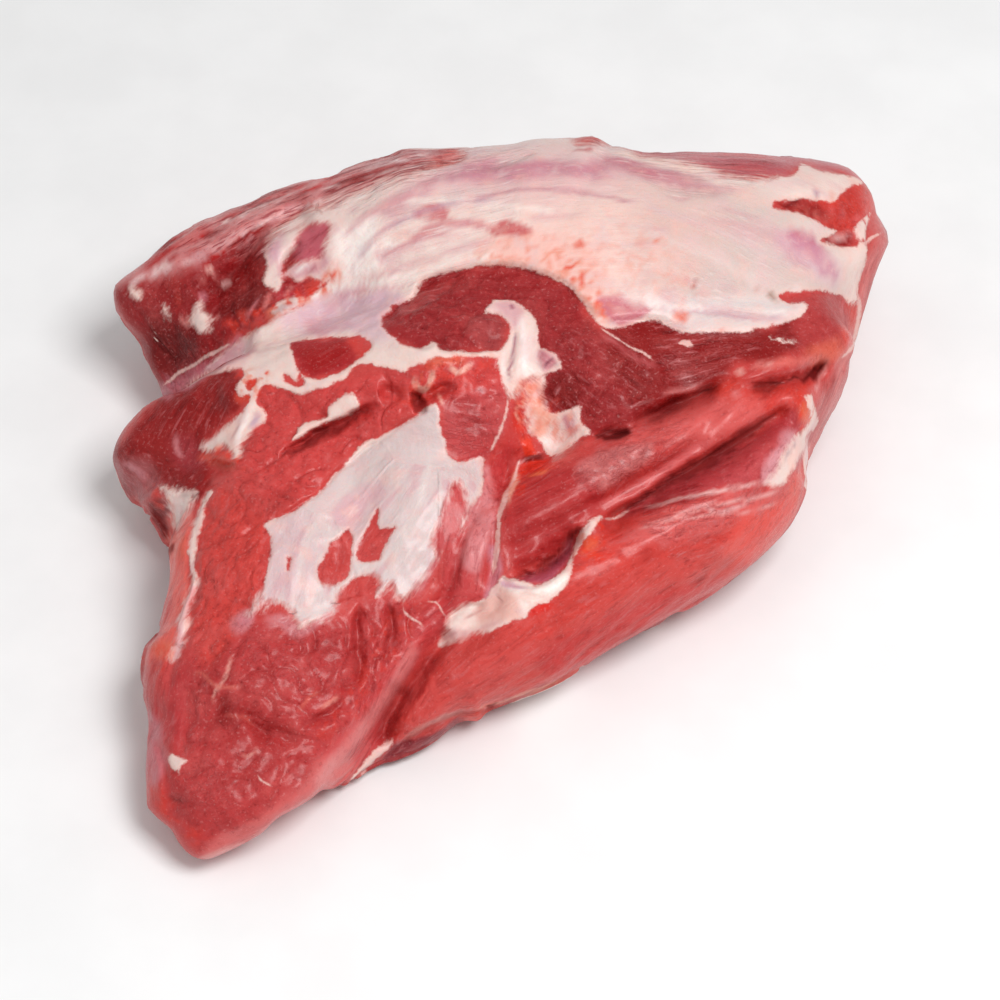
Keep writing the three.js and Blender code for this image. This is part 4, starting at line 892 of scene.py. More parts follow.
# Noise. Each kind of lump is given by the size of its lumps, how much it counts, and a seed.
SEED_STEP = 17.31  # how far apart in the noise two seeds are
NOISE_GAIN = 1.6  # brings the noise to about -1 to 1
BEADS = ((4.5 * MM, 1.0, 50), (2.2 * MM, 0.8, 51))
PATCHES = ((15 * MM, 1.0, 40), (6 * MM, 0.6, 41))
STREAKS = ((8 * MM, 1.0, 42), (3.5 * MM, 0.6, 45))
CLOUDS = ((12 * MM, 1.0, 43), (5 * MM, 0.6, 44))
# How far, in pixels, the places of each kind of outline wander, so that no edge runs too smoothly.
WANDER = {
    "creases": ((14 * MM, 1.8, 20), (5 * MM, 0.8, 62)),
    "hollows": ((7 * MM, 2.4, 64), (3 * MM, 1.4, 66)),
    "fat": ((8 * MM, 1.2, 22), (3.5 * MM, 0.7, 60)),
    "lines": ((12 * MM, 1.2, 24),),
    "tints": ((18 * MM, 5, 26), (6 * MM, 2, 28)),
    "streaks": ((9 * MM, 1.0, 68),),
}


def smoothstep(low, high, value):
    share = np.clip((value - low) / (high - low), 0, 1)
    return share * share * (3 - 2 * share)


def mixed(one, other, share):
    return one + (other - one) * share


def unit(vectors):
    return vectors / np.linalg.norm(vectors, axis=-1, keepdims=True)


RIGHT = np.array([1.0, 0.0, 0.0])
UP = np.array([0.0, math.sin(LOOK_DOWN), math.cos(LOOK_DOWN)])
FORWARD = np.array([0.0, math.cos(LOOK_DOWN), -math.sin(LOOK_DOWN)])
UP_ALONG_FLOOR = np.array([0.0, 1 / math.sin(LOOK_DOWN), 0.0])  # looks like UP in the photo
EYE = VIEW_TARGET - VIEW_DISTANCE * FORWARD


def in_photo(points):
    """Where points in space are in the photo, in pixels."""
    offset = points - EYE
    depth = offset @ FORWARD
    across = PHOTO_SIDE / 2 + PIXELS_PER_SLOPE * (offset @ RIGHT) / depth
    down = PHOTO_SIDE / 2 - PIXELS_PER_SLOPE * (offset @ UP) / depth
    return np.stack([across, down], axis=-1)


def noise_at(points, size, seed):
    """Smooth noise from about -1 to 1 whose lumps are about the given size."""
    places = points / size + seed * SEED_STEP
    return np.array([noise.noise(place) for place in places.tolist()]) * NOISE_GAIN


def layered(points, layers):
    return sum(share * noise_at(points, size, seed) for size, share, seed in layers)


def wandering(places, points, kind):
    """The photo places of the points, shifted a little, so that an outline laid on them wanders."""
    for size, amount, seed in WANDER[kind]:
        shift = [noise_at(points, size, seed), noise_at(points, size, seed + 1)]
        places = places + amount * np.stack(shift, axis=-1)
    return places


# Curves through the named points, and distances to them.
def curve_through(points, closed):
    """A smooth curve that passes through every point."""
    points = np.array(points, float)
    before = points[-1:] if closed else points[:1]
    after = points[:2] if closed else points[-1:]
    ring = np.concatenate([before, points, after])
    share = np.arange(CURVE_STEPS)[:, None] / CURVE_STEPS
    spans = []
    for a, b, c, d in zip(ring, ring[1:], ring[2:], ring[3:]):
        bend = (2 * a - 5 * b + 4 * c - d) * share**2 + (3 * b - a - 3 * c + d) * share**3
        spans.append((2 * b + (c - a) * share + bend) / 2)
    return np.concatenate(spans + [points[:1] if closed else points[-1:]])


def nearest_on(curve, places):
    """Distances from the curve, above 0 on its right, how far along it the places are, and its length."""
    best = np.full(len(places), np.inf)
    signed = np.full(len(places), np.inf)
    along = np.zeros(len(places))
    travelled = 0.0
    for start, step in zip(curve[:-1], np.diff(curve, axis=0)):
        length = math.hypot(*step)
        offset = places - start
        share = np.clip(offset @ step / length**2, 0, 1)
        gap = offset - share[:, None] * step
        distance = np.hypot(gap[:, 0], gap[:, 1])
        nearer = distance < best
        right_hand = step[0] * offset[:, 1] > step[1] * offset[:, 0]
        best = np.where(nearer, distance, best)
        signed = np.where(nearer, np.where(right_hand, distance, -distance), signed)
        along = np.where(nearer, travelled + share * length, along)
        travelled += length
    return signed, along, travelled


def inside(curve, places):
    """Which places lie inside a closed curve."""
    odd = np.zeros(len(places), bool)
    for (x1, y1), (x2, y2) in zip(curve[:-1], curve[1:]):
        spans = (y1 > places[:, 1]) != (y2 > places[:, 1])
        crossing = x1 + (places[:, 1] - y1) * (x2 - x1) / (y2 - y1 if y2 != y1 else 1.0)
        odd ^= spans & (places[:, 0] < crossing)
    return odd


def near(curve, places, margin):
    """The numbers of the places that lie in the curve's box or within a margin round it."""
    low, high = curve.min(axis=0) - margin, curve.max(axis=0) + margin
    return np.flatnonzero(((places > low) & (places < high)).all(axis=1))


def depth_inside(outline, places):
    """How far inside a closed outline each place is, in pixels; below 0 outside."""
    curve = curve_through(outline, closed=True)
    depth = np.full(len(places), -FAR)
    chosen = near(curve, places, FAR)
    distance = np.abs(nearest_on(curve, places[chosen])[0])
    depth[chosen] = np.where(inside(curve, places[chosen]), distance, -distance)
    return depth


def share_inside(outline, places, softness):
    """1 inside a closed outline, 0 outside, with an edge of the given softness to each side."""
    return smoothstep(-softness, softness, depth_inside(outline, places))


def along_route(route, places, reach):
    """Signed distance from a route, and how much it counts there: less near its ends, nothing out of reach."""
    curve = curve_through(route, closed=False)
    signed = np.full(len(places), FAR)
    weight = np.zeros(len(places))
    chosen = near(curve, places, reach)
    distance, along, length = nearest_on(curve, places[chosen])
    fade = min(END_FADE, length / 3)
    signed[chosen] = distance
    weight[chosen] = smoothstep(0, fade, along) * smoothstep(0, fade, length - along)
    return signed, weight


# The fine skin.
def sphere(divisions):
    """An icosahedron with its faces cut into small triangles, as directions and triangles."""
    golden = (1 + math.sqrt(5)) / 2
    corners = np.array([
        (-1, golden, 0), (1, golden, 0), (-1, -golden, 0), (1, -golden, 0), (0, -1, golden), (0, 1, golden),
        (0, -1, -golden), (0, 1, -golden), (golden, 0, -1), (golden, 0, 1), (-golden, 0, -1), (-golden, 0, 1),
    ])
    faces = [
        (0, 11, 5), (0, 5, 1), (0, 1, 7), (0, 7, 10), (0, 10, 11), (1, 5, 9), (5, 11, 4), (11, 10, 2),
        (10, 7, 6), (7, 1, 8), (3, 9, 4), (3, 4, 2), (3, 2, 6), (3, 6, 8), (3, 8, 9), (4, 9, 5), (2, 4, 11),
        (6, 2, 10), (8, 6, 7), (9, 8, 1),
    ]
    cells = [(i, j) for i in range(divisions + 1) for j in range(divisions + 1 - i)]
    number = {cell: at for at, cell in enumerate(cells)}
    small = [(number[i, j], number[i + 1, j], number[i, j + 1]) for i, j in cells if i + j < divisions]
    small += [
        (number[i + 1, j], number[i + 1, j + 1], number[i, j + 1]) for i, j in cells if i + j < divisions - 1
    ]
    weights = np.array([(divisions - i - j, i, j) for i, j in cells]) / divisions
    points = np.concatenate([weights @ corners[list(face)] for face in faces])
    triangles = np.concatenate([np.array(small) + at * len(cells) for at in range(len(faces))])
    _, first, merged = np.unique(np.round(points, 6), axis=0, return_index=True, return_inverse=True)
    return unit(points[first]), merged.reshape(-1)[triangles]


def crowded(directions):
    """The same directions, closer together round the crowded side."""
    axis = unit(CROWDED_SIDE)
    angle = np.arccos(np.clip(directions @ axis, -1, 1))
    aside = directions - (directions @ axis)[:, None] * axis
    aside /= np.maximum(np.linalg.norm(aside, axis=1, keepdims=True), TINY)
    angle = angle - CROWDING * np.sin(angle)
    return np.cos(angle)[:, None] * axis + np.sin(angle)[:, None] * aside


def smooth_tree(meat):
    """The CAD meat with its facets smoothed, ready for lines to be sent at it."""
    copy = bpy.data.objects.new("smoothed", meat.data.copy())
    bpy.context.collection.objects.link(copy)
    welded = copy.modifiers.new("welded", "WELD")
    welded.merge_threshold = WELD_WITHIN
    smoothing = copy.modifiers.new("smoothing", "SUBSURF")
    smoothing.levels = SMOOTHING_LEVELS
    tree = BVHTree.FromObject(copy, bpy.context.evaluated_depsgraph_get())
    bpy.data.objects.remove(copy)
    return tree


def surface_along(tree, starts, directions):
    """The outermost point of the surface on each line."""
    points = np.empty_like(starts)
    outside = starts + directions * PAST_THE_MEAT
    for at, (start, direction) in enumerate(zip(outside.tolist(), (-directions).tolist())):
        points[at] = tree.ray_cast(start, direction)[0]
    return points


def level(turns):
    """Level directions, turned by the given angles from the right."""
    return np.stack([np.cos(turns), np.sin(turns), np.zeros_like(turns)], axis=-1)


def outline_reach(tree, turns):
    """How far the outline is from the heart, smoothed over the angles near each one."""
    around = np.linspace(-math.pi, math.pi, OUTLINE_BINS, endpoint=False)
    starts = np.tile(HEART, (len(around), 1))
    reach = np.linalg.norm(surface_along(tree, starts, level(around)) - HEART, axis=1)
    blurred = sum(np.interp(around + aside, around, reach, period=2 * math.pi) for aside in OUTLINE_BLUR)
    return np.interp(turns, around, blurred / len(OUTLINE_BLUR), period=2 * math.pi)


def fine_skin(meat):
    """Points and triangles of a fine closed skin that lies on the CAD meat."""
    tree = smooth_tree(meat)
    directions, triangles = sphere(SKIN_DIVISIONS)
    directions = crowded(directions)
    turn = np.arctan2(directions[:, 1], directions[:, 0])
    drop = (np.arccos(np.clip(directions[:, 2], -1, 1)) / math.pi) ** TOP_SHARE
    to_rim = 1 - np.abs(1 - 2 * drop)
    lean = math.pi / 2 * to_rim**UPRIGHT
    reach = SHEET_SHARE * outline_reach(tree, turn) * np.sin(math.pi / 2 * to_rim)
    starts = HEART + level(turn) * reach[:, None]
    lines = level(turn) * np.sin(lean)[:, None]
    lines[:, 2] = np.cos(lean) * np.where(drop < 0.5, 1, -1)
    points = surface_along(tree, starts, lines)
    points[:, 2] = np.where(points[:, 2] < FLAT_WITHIN, 0, points[:, 2])
    return points, triangles


def normals_of(points, triangles):
    a, b, c = (points[triangles[:, corner]] for corner in range(3))
    faces = np.cross(b - a, c - a)
    normals = np.zeros_like(points)
    for corner in range(3):
        np.add.at(normals, triangles[:, corner], faces)
    return unit(normals + LEAST_AREA)


def edges_of(triangles):
    pairs = np.concatenate([triangles[:, [0, 1]], triangles[:, [1, 2]], triangles[:, [2, 0]]])
    return np.unique(np.sort(pairs, axis=1), axis=0)


def evened(values, edges, times):
    """Values on the skin's points, each drawn towards its neighbours' average."""
    one, other = edges.T
    count = np.bincount(edges.reshape(-1), minlength=len(values)).astype(float)
    for _ in range(times):
        total = np.zeros_like(values)
        np.add.at(total, one, values[other])
        np.add.at(total, other, values[one])
        values = (values + (total.T / count).T) / 2
    return values


def drawn_to_outline(points):
    """The points moved so that the skin's outline, seen from the photo's camera, is the one in the photo."""
    middle = np.array(OUTLINE_MIDDLE, float)
    around = np.linspace(-math.pi, math.pi, OUTLINE_BINS, endpoint=False)
    bin_middles = around + math.pi / OUTLINE_BINS
    places = in_photo(points) - middle
    turn = np.arctan2(places[:, 1], places[:, 0])
    radius = np.hypot(places[:, 0], places[:, 1])
    bins = ((turn + math.pi) / (2 * math.pi) * OUTLINE_BINS).astype(int) % OUTLINE_BINS
    now = np.zeros(OUTLINE_BINS)
    np.maximum.at(now, bins, radius)
    sideways = range(-OUTLINE_EVENING, OUTLINE_EVENING + 1)
    now = sum(np.roll(now, step) for step in sideways) / len(sideways)
    curve = curve_through(OUTLINE, closed=True) - middle
    wanted_turn = np.arctan2(curve[:-1, 1], curve[:-1, 0])
    wanted = np.interp(around, wanted_turn, np.hypot(*curve[:-1].T), period=2 * math.pi)
    growth = np.interp(turn, bin_middles, wanted / now, period=2 * math.pi)
    edge = np.interp(turn, bin_middles, now, period=2 * math.pi)
    hold = smoothstep(*OUTLINE_HOLD, radius / edge)
    shift = places * ((growth - 1) * hold)[:, None] * PIXEL
    rise = -shift[:, 1:] * mixed(UP_ALONG_FLOOR, UP, smoothstep(0, RISING_ABOVE, points[:, 2])[:, None])
    moved = points + shift[:, :1] * RIGHT + rise
    moved[:, 2] = np.where(points[:, 2] == 0, 0, np.maximum(moved[:, 2], 0))
    return moved


def seen_share(tree, points, normals, edges):
    """1 where the photo shows the skin, 0 elsewhere; the lines of sight; how squarely they meet the skin."""
    lines = points - EYE
    reach = np.linalg.norm(lines, axis=1)
    lines /= reach[:, None]
    facing = -(normals * lines).sum(axis=1)
    start = EYE.tolist()
    first = np.array([tree.ray_cast(start, line)[3] or np.inf for line in lines.tolist()])
    shown = (first > reach - HIDDEN_BY) & (facing > GRAZING)
    return smoothstep(*SEEN_FADE, evened(shown.astype(float), edges, SEEN_EVENING)), lines, facing


def crease_relief(places, ragged_places, lines, facing, seen):
    """How far each point moves away from the camera, and the painted shade in the creases and hollows."""
    relief = np.zeros(len(places))
    dark = np.zeros(len(places))
    for depth, left_width, right_width, lift, reach, painted_shade, route in CREASES.values():
        widest = max(3 * left_width, 3 * right_width, 2.5 * reach)
        signed, weight = along_route(route, places, widest)
        from_middle = np.abs(signed) / np.where(signed > 0, right_width, left_width)
        side = smoothstep(-CREASE_STEP, CREASE_STEP, signed) * np.exp(-np.abs(signed) / reach)
        relief += (depth * np.exp(-(from_middle**2)) - lift * side) * weight
        # Painted shade along each crease.
        dark = np.maximum(dark, painted_shade * weight * np.exp(-((DARK_NARROWER * from_middle) ** 2)))
    for depth, softness, painted_shade, outline in HOLLOWS.values():
        share = share_inside(outline, ragged_places, softness)
        relief += depth * share
        # Painted shade inside each hollow.
        dark = np.maximum(dark, painted_shade * share)
    relief = np.clip(relief * MM, -HIGHEST, DEEPEST) * smoothstep(*RELIEF_FACING, facing) * seen
    return relief[:, None] * lines, dark * seen


def painted(base, tints, streaks, places, line_places):
    """The colour at each place, after every tint and streak has been laid over the base."""
    colour = np.tile(base, (len(places), 1))
    for tint, softness, strength, outline in tints.values():
        share = strength * share_inside(outline, places, softness)
        colour = mixed(colour, tint, share[:, None])
    for tint, half_width, softness, strength, route in streaks.values():
        signed, weight = along_route(route, line_places, half_width + softness)
        share = strength * weight * (1 - smoothstep(half_width, half_width + softness, np.abs(signed)))
        colour = mixed(colour, tint, share[:, None])
    return colour


def pale_depth(places):
    """How far inside the fat and skin each place is, in pixels, and how soft their edge is there."""
    depth = np.full(len(places), -FAR)
    for outline in PALE_AREAS.values():
        depth = np.maximum(depth, depth_inside(outline, places))
    for outline in FLESH_WINDOWS.values():
        depth = np.minimum(depth, -depth_inside(outline, places))
    softness = np.ones(len(places))
    for amount, outline in SOFT_EDGES.values():
        softness = mixed(softness, amount, share_inside(outline, places, SOFT_EDGE_FADE))
    return depth, softness


def torn_share(places):
    torn = np.zeros(len(places))
    for outline in TORN_AREAS.values():
        torn = np.maximum(torn, smoothstep(*TORN_FADE, depth_inside(outline, places)))
    return torn


def strongest(areas, places):
    """How strongly each place lies in any of the areas, each given as a strength, a softness and an outline."""
    share = np.zeros(len(places))
    for strength, softness, outline in areas.values():
        share = np.maximum(share, strength * share_inside(outline, places, softness))
    return share


def clotted_share(places, points):
    """How much of each place is clotted blood: small blobs inside the clotted outlines."""
    return strongest(CLOTTED, places) * smoothstep(*BEAD_EDGE, layered(points, BEADS))


def pale_lines(places):
    """The signed distance from the nearest thin pale line, and half its width there, 0 away from it."""
    side = np.full(len(places), FAR)
    width = np.zeros(len(places))
    for half_width, route in PALE_LINES.values():
        signed, weight = along_route(route, places, 4 * half_width + 8)
        closer = np.abs(signed) < np.abs(side)
        side = np.where(closer, signed, side)
        close_by = 1 - smoothstep(2 * half_width + 4, 3 * half_width + 6, np.abs(signed))
        width = np.where(closer, half_width * weight * close_by, width)
    return side, width


def fibre_coordinates(tree, points, edges):
    """Coordinates squeezed along the muscle fibres, and how clear the fibres are: less where two flows meet."""
    places, flows, strengths = [], [], []
    for across, down, degrees, strength in FIBRE_PLACES.values():
        slope = np.array([across - PHOTO_SIDE / 2, PHOTO_SIDE / 2 - down]) / PIXELS_PER_SLOPE
        line = unit(FORWARD + slope[0] * RIGHT + slope[1] * UP)
        places.append(np.array(tree.ray_cast(EYE.tolist(), line.tolist())[0]))
        flows.append(math.cos(math.radians(degrees)) * RIGHT + math.sin(math.radians(degrees)) * UP)
        strengths.append(strength)
    half = (points.max(axis=0) - points.min(axis=0)) / 2
    for place, flow in HIDDEN_FIBRE_PLACES.values():
        places.append(np.array(place) * half * (1, 1, 2))
        flows.append(unit(np.array(flow)))
        strengths.append(HIDDEN_FIBRES_CLEAR)
    distances = np.stack([np.linalg.norm(points - place, axis=1) for place in places])
    flow_number = distances.argmin(axis=0)
    flow = np.array(flows)[flow_number]
    along = (points * flow).sum(axis=1)[:, None]
    squeezed = points + flow * along * (1 / FIBRE_STRETCH - 1)
    meeting = np.zeros(len(points))
    parting = flow_number[edges[:, 0]] != flow_number[edges[:, 1]]
    meeting[edges[parting].reshape(-1)] = 1
    clear = np.where(meeting > 0, 0, evened(1 - meeting, edges, MEETING_WIDTH))
    return squeezed, smoothstep(*MEETING_FADE, clear) * np.array(strengths)[flow_number]


# The sides that the photo doesn't show.
def hidden_pattern(points):
    """How deep in the fat each point is, in pixels, and the flesh and fat colours, for the hidden sides."""
    height = points[:, 2] / points[:, 2].max()
    back = smoothstep(0, 120 * MM, points[:, 1])
    across = points[:, 0] / MM
    broad = noise_at(points, 60 * MM, 3)
    middling = noise_at(points, 22 * MM, 4)
    depth = 22 * broad + 9 * middling - 8 + 26 * back * smoothstep(0.2, 0.7, height)
    bare = smoothstep(-190, -160, across) * (1 - smoothstep(-70, -30, across)) + smoothstep(50, 80, across)
    depth -= 44 * bare * back * smoothstep(0.4, 0.75, height)
    bright = smoothstep(-0.5, 0.5, noise_at(points, 45 * MM, 5) + 0.3 * middling)
    dusky = smoothstep(0.1, 0.7, noise_at(points, 38 * MM, 6))
    flesh = mixed(mixed(DULL_MUSCLE, MUSCLE, bright[:, None]), DARK_MUSCLE, dusky[:, None])
    grey = smoothstep(-0.3, 0.6, noise_at(points, 30 * MM, 7))
    lilac = smoothstep(0.2, 0.7, noise_at(points, 26 * MM, 8))
    fat = mixed(mixed(CREAM_FAT, GREY_PINK_SKIN, grey[:, None]), LILAC_SKIN, lilac[:, None])
    return depth, flesh, fat


def seams(points, size, seed):
    """1 along narrow winding lines, 0 away from them."""
    return np.exp(-((noise_at(points, size, seed) / SEAM_WIDTH) ** 2))


def hidden_relief(points, normals, seen):
    """Seams and lobes for the hidden sides, and the painted shade in the seams."""
    seam = seams(points, 75 * MM, 9) + 0.6 * seams(points, 40 * MM, 10)
    hidden = (1 - seen) * smoothstep(0, 8 * MM, points[:, 2])
    amount = LOBE_HEIGHT * noise_at(points, 50 * MM, 11) - SEAM_DEPTH * seam
    return (amount * hidden)[:, None] * normals, SEAM_PAINTED_SHADE * seam * hidden


# What the skin is like at each of its points.
def mottled(flesh, fat, points, fibre, clear, torn):
    """Flesh and fat colours with broad soft variation: patches, and streaks along the fibres."""
    patch = layered(points, PATCHES)
    streak = clear * layered(fibre, STREAKS)
    cloud = layered(points, CLOUDS)
    darker = 0.3 * smoothstep(0.1, 0.9, patch) + (0.22 + 0.22 * clear) * smoothstep(0.1, 0.9, streak)
    brighter = (0.1 + 0.2 * torn) * smoothstep(0.1, 0.9, -patch)
    brighter += (0.1 + 0.25 * clear) * smoothstep(0.1, 0.9, -streak)
    # Dark muscle is the evener one, and where the fibres are clearest a sheer skin shows between them.
    even = mixed(0.45, 1, smoothstep(0.25, 0.6, flesh[:, 0]))
    sheer = smoothstep(1.2, 2.0, clear)
    darker *= even * (0.6 + 0.4 * torn + 0.4 * sheer)
    flesh = flesh * (1 - darker[:, None] * DARKENING)
    flesh = mixed(flesh, mixed(PINK_MUSCLE, STRIP_SKIN, sheer[:, None]), (brighter * even)[:, None])
    fat = mixed(fat, ROSY_FAT, 0.35 * smoothstep(0.2, 1.0, cloud)[:, None])
    fat = mixed(fat, GREY_PINK_SKIN, 0.5 * smoothstep(0.2, 1.0, -cloud)[:, None])
    fat = mixed(fat, LILAC_SKIN, 0.35 * smoothstep(0.2, 0.8, streak)[:, None])
    return flesh, fat


def colours_of(points, places, seen, fibre, clear, torn, hidden_flesh, hidden_fat):
    """The colour of the flesh and of the fat at each point, with the clots on both."""
    tint_places = wandering(places, points, "tints")
    streak_places = wandering(places, points, "streaks")
    shown = seen[:, None]
    flesh = painted(MUSCLE, MUSCLE_TINTS, MUSCLE_STREAKS, tint_places, streak_places)
    fat = painted(CREAM_FAT, PALE_TINTS, PALE_STREAKS, tint_places, streak_places)
    flesh = mixed(hidden_flesh, flesh, shown)
    fat = mixed(hidden_fat, fat, shown)
    flesh, fat = mottled(flesh, fat, points, fibre, clear, torn)
    clot = clotted_share(places, points)[:, None] * shown
    flesh = mixed(flesh, BLOOD, clot)
    fat = mixed(fat, ORANGE_FAT, np.minimum(ORANGE_ROUND_CLOTS * clot, 1))
    return flesh, mixed(fat, BLOOD, smoothstep(*CLOTS_ON_FAT, clot))


def lumps_on(points, fibre, clear, torn, depth):
    """How far small lumps, tears, threads and the fat stand out, in millimetres, and where the tears are."""
    lumps = np.zeros(len(points))
    for size, height, torn_height, seed in LUMPS:
        lumps += (height + torn_height * torn) * noise_at(points, size, seed)
    tears = np.exp(-((noise_at(points * TEAR_STRETCH, TEAR_SIZE, 34) / TEAR_WIDTH) ** 2)) * torn
    lumps -= TEAR_DEPTH * tears
    lumps += THREAD_HEIGHT * clear * noise_at(fibre, THREAD_SIZE, 33)
    lumps += FAT_HEIGHT * smoothstep(0, FAT_SLOPE, depth)
    return lumps, tears


def make_meat(cad_meat):
    points, triangles = fine_skin(cad_meat)
    edges = edges_of(triangles)
    points = drawn_to_outline(points)
    normals = normals_of(points, triangles)
    tree = BVHTree.FromPolygons(points.tolist(), triangles.tolist())
    seen, lines, facing = seen_share(tree, points, normals, edges)
    fibre, clear = fibre_coordinates(tree, points, edges)

    # What the photo shows is laid on the skin, and a made-up pattern takes its place on the hidden sides.
    places = in_photo(points)
    crease_places = wandering(places, points, "creases")
    ragged_places = wandering(places, points, "hollows")
    fat_places = wandering(places, points, "fat")
    relief, dark = crease_relief(crease_places, ragged_places, lines, facing, seen)
    hidden_shift, hidden_seam_shade = hidden_relief(points, normals, seen)
    hidden_depth, hidden_flesh, hidden_fat = hidden_pattern(points)
    depth, softness = pale_depth(fat_places)
    depth = mixed(hidden_depth, depth, seen)
    softness = mixed(HIDDEN_SOFTNESS, softness, seen)
    side, width = pale_lines(wandering(places, points, "lines"))
    torn = mixed(HIDDEN_TORN, torn_share(wandering(places, points, "tints")), seen)
    flesh, fat = colours_of(points, places, seen, fibre, clear, torn, hidden_flesh, hidden_fat)
    torn = torn * (1 - smoothstep(*TORN_TO_FAT, depth))
    crinkled = np.maximum(strongest(CRINKLED, fat_places) * seen, CRINKLED_WHERE_TORN * torn)
    crinkled *= smoothstep(0, CRINKLED_FROM, clear)

    # The relief, on a base that stays flat.
    lumps, tears = lumps_on(points, fibre, clear, torn, depth)
    lumps *= mixed(AT_THE_RIM, 1, smoothstep(*RIM_FACING, np.abs(facing)))
    # Painted shade: the creases and hollows, the seams on the hidden sides, and the tears.
    dark = np.maximum(np.maximum(dark, hidden_seam_shade), TEAR_PAINTED_SHADE * tears)
    off_base = smoothstep(0, FLAT_BELOW, points[:, 2])[:, None]
    on_base = points[:, 2] == 0
    points = points + relief * off_base + hidden_shift + lumps[:, None] * off_base * MM * normals
    points[:, 2] = np.where(on_base, 0, np.maximum(points[:, 2], 0))

    meat = mesh_object("topside_meat", points, triangles, meat_material())
    store(meat.data, "flesh", flesh, "FLOAT_COLOR")
    store(meat.data, "fat", fat, "FLOAT_COLOR")
    store(meat.data, "fibre", fibre)
    store(meat.data, "softness", softness, "FLOAT")
    store(meat.data, "crinkled", crinkled, "FLOAT")
    store(meat.data, "pale", np.stack([depth, side, width], axis=-1))
    # The painted shade of the creases, how clear the fibres are, and how torn the muscle is.
    store(meat.data, "crease_shade_fibres_tears", np.stack([dark, clear, torn], axis=-1))
    return meat


# Materials.
class Shader:
    """A material's nodes. Each call adds a node and gives back the socket that comes out of it."""

    def __init__(self, name):
        self.material = bpy.data.materials.new(name)
        self.material.use_nodes = True
        self.nodes = self.material.node_tree.nodes
        self.links = self.material.node_tree.links
        self.surface = self.nodes["Principled BSDF"]

    def node(self, kind, settings, inputs, output=0):
        made = self.nodes.new(kind)
        for name, value in settings.items():
            setattr(made, name, value)
        for name, value in inputs.items():
            self.feed(made.inputs[name], value)
        return made.outputs[output]

    def feed(self, socket, value):
        if isinstance(value, bpy.types.NodeSocket):
            self.links.new(value, socket)
        else:
            socket.default_value = value

    def set(self, **values):
        """Feeds the surface's own sockets. An underscore in a name stands for a space."""
        for name, value in values.items():
            self.feed(self.surface.inputs[name.replace("_", " ")], value)

    def attribute(self, name, output="Fac"):
        return self.node("ShaderNodeAttribute", {"attribute_name": name}, {}, output)

    def place(self):
        return self.node("ShaderNodeTexCoord", {}, {}, "Object")

    def parts(self, vector):
        made = self.nodes.new("ShaderNodeSeparateXYZ")
        self.links.new(vector, made.inputs[0])
        return made.outputs

    def noise(self, vector, size, detail, roughness, distortion=0.0):
        inputs = {"Vector": vector, "Scale": 1 / size, "Detail": detail}
        inputs |= {"Roughness": roughness, "Distortion": distortion}
        return self.node("ShaderNodeTexNoise", {}, inputs, "Fac")

    def math(self, operation, *values):
        return self.node("ShaderNodeMath", {"operation": operation}, dict(enumerate(values)))

    def plus(self, one, other):
        return self.math("ADD", one, other)

    def minus(self, one, other):
        return self.math("SUBTRACT", one, other)

    def times(self, one, other):
        return self.math("MULTIPLY", one, other)

    def ramp(self, value, low, high, to_low=0.0, to_high=1.0):
        inputs = {"Value": value, "From Min": low, "From Max": high, "To Min": to_low, "To Max": to_high}
        return self.node("ShaderNodeMapRange", {"interpolation_type": "SMOOTHSTEP"}, inputs)

    def mix(self, share, one, other, blend="MIX"):
        settings = {"data_type": "RGBA", "blend_type": blend}
        return self.node("ShaderNodeMix", settings, {0: share, 6: self.rgba(one), 7: self.rgba(other)}, 2)

    def shade(self, share, colour, shade):
        """The colour, multiplied by a shade where the share is 1."""
        return self.mix(share, colour, shade, "MULTIPLY")

    def rgba(self, colour):
        return colour if isinstance(colour, bpy.types.NodeSocket) else (*colour, 1.0)


# Most numbers below turn a noise, or a distance in pixels, into an amount: from which value to which, and the
# amounts at the two ends where they aren't 0 and 1.
def fat_share(shader, depth, thread):
    """How much of a place is fat. Where the fat's edge is soft, it frays into threads."""
    softness = shader.attribute("softness")
    frayed = shader.times(shader.ramp(thread, 0.3, 0.7, 0.9, -0.9), shader.minus(softness, 1))
    return shader.ramp(shader.math("DIVIDE", shader.plus(depth, frayed), softness), -1.4, 1.5)


def line_share(shader, side, width, grain, pale):
    """How much of a place is a thin pale line, away from the fat."""
    inside_line = shader.minus(width, shader.math("ABSOLUTE", side))
    inside_line = shader.plus(inside_line, shader.ramp(grain, 0.3, 0.7, -1.0, 0.6))
    line = shader.times(shader.ramp(inside_line, -1.3, 1.1, 0, 0.92), shader.ramp(width, 0.1, 0.8))
    return shader.times(line, shader.minus(1, pale))


def muscle_colour(shader, grain, speck, thread, clear, torn):
    """Muscle: a spongy grain, rougher where it's torn, threads along the fibres and pale specks."""
    flesh = shader.attribute("flesh", "Color")
    rough = shader.ramp(torn, 0, 1, 0.5, 0.85)
    flesh = shader.shade(shader.times(rough, shader.ramp(grain, 0.52, 0.72)), flesh, GRAIN_SHADE)
    flesh = shader.mix(shader.times(rough, shader.ramp(grain, 0.48, 0.3, 0, 0.38)), flesh, PINK_MUSCLE)
    flesh = shader.shade(shader.times(clear, shader.ramp(thread, 0.5, 0.72, 0, 0.75)), flesh, THREAD_SHADE)
    flesh = shader.mix(shader.times(clear, shader.ramp(thread, 0.46, 0.28, 0, 0.45)), flesh, SHEER_SKIN)
    specks = shader.times(shader.ramp(speck, 0.6, 0.76), shader.ramp(torn, 0, 1, 0.16, 0.22))
    return shader.mix(specks, flesh, STRIP_SKIN)


def crinkled_colour(shader, flesh, waves, folds, crinkled):
    """Sheer skin that lies crinkled on the muscle: thin muted folds with darker gaps."""
    gaps = shader.times(crinkled, shader.ramp(waves, 0.54, 0.66, 0, 0.6))
    flesh = shader.shade(gaps, flesh, GAP_SHADE)
    return shader.mix(shader.times(crinkled, shader.times(folds, 0.7)), flesh, FOLD_SKIN)


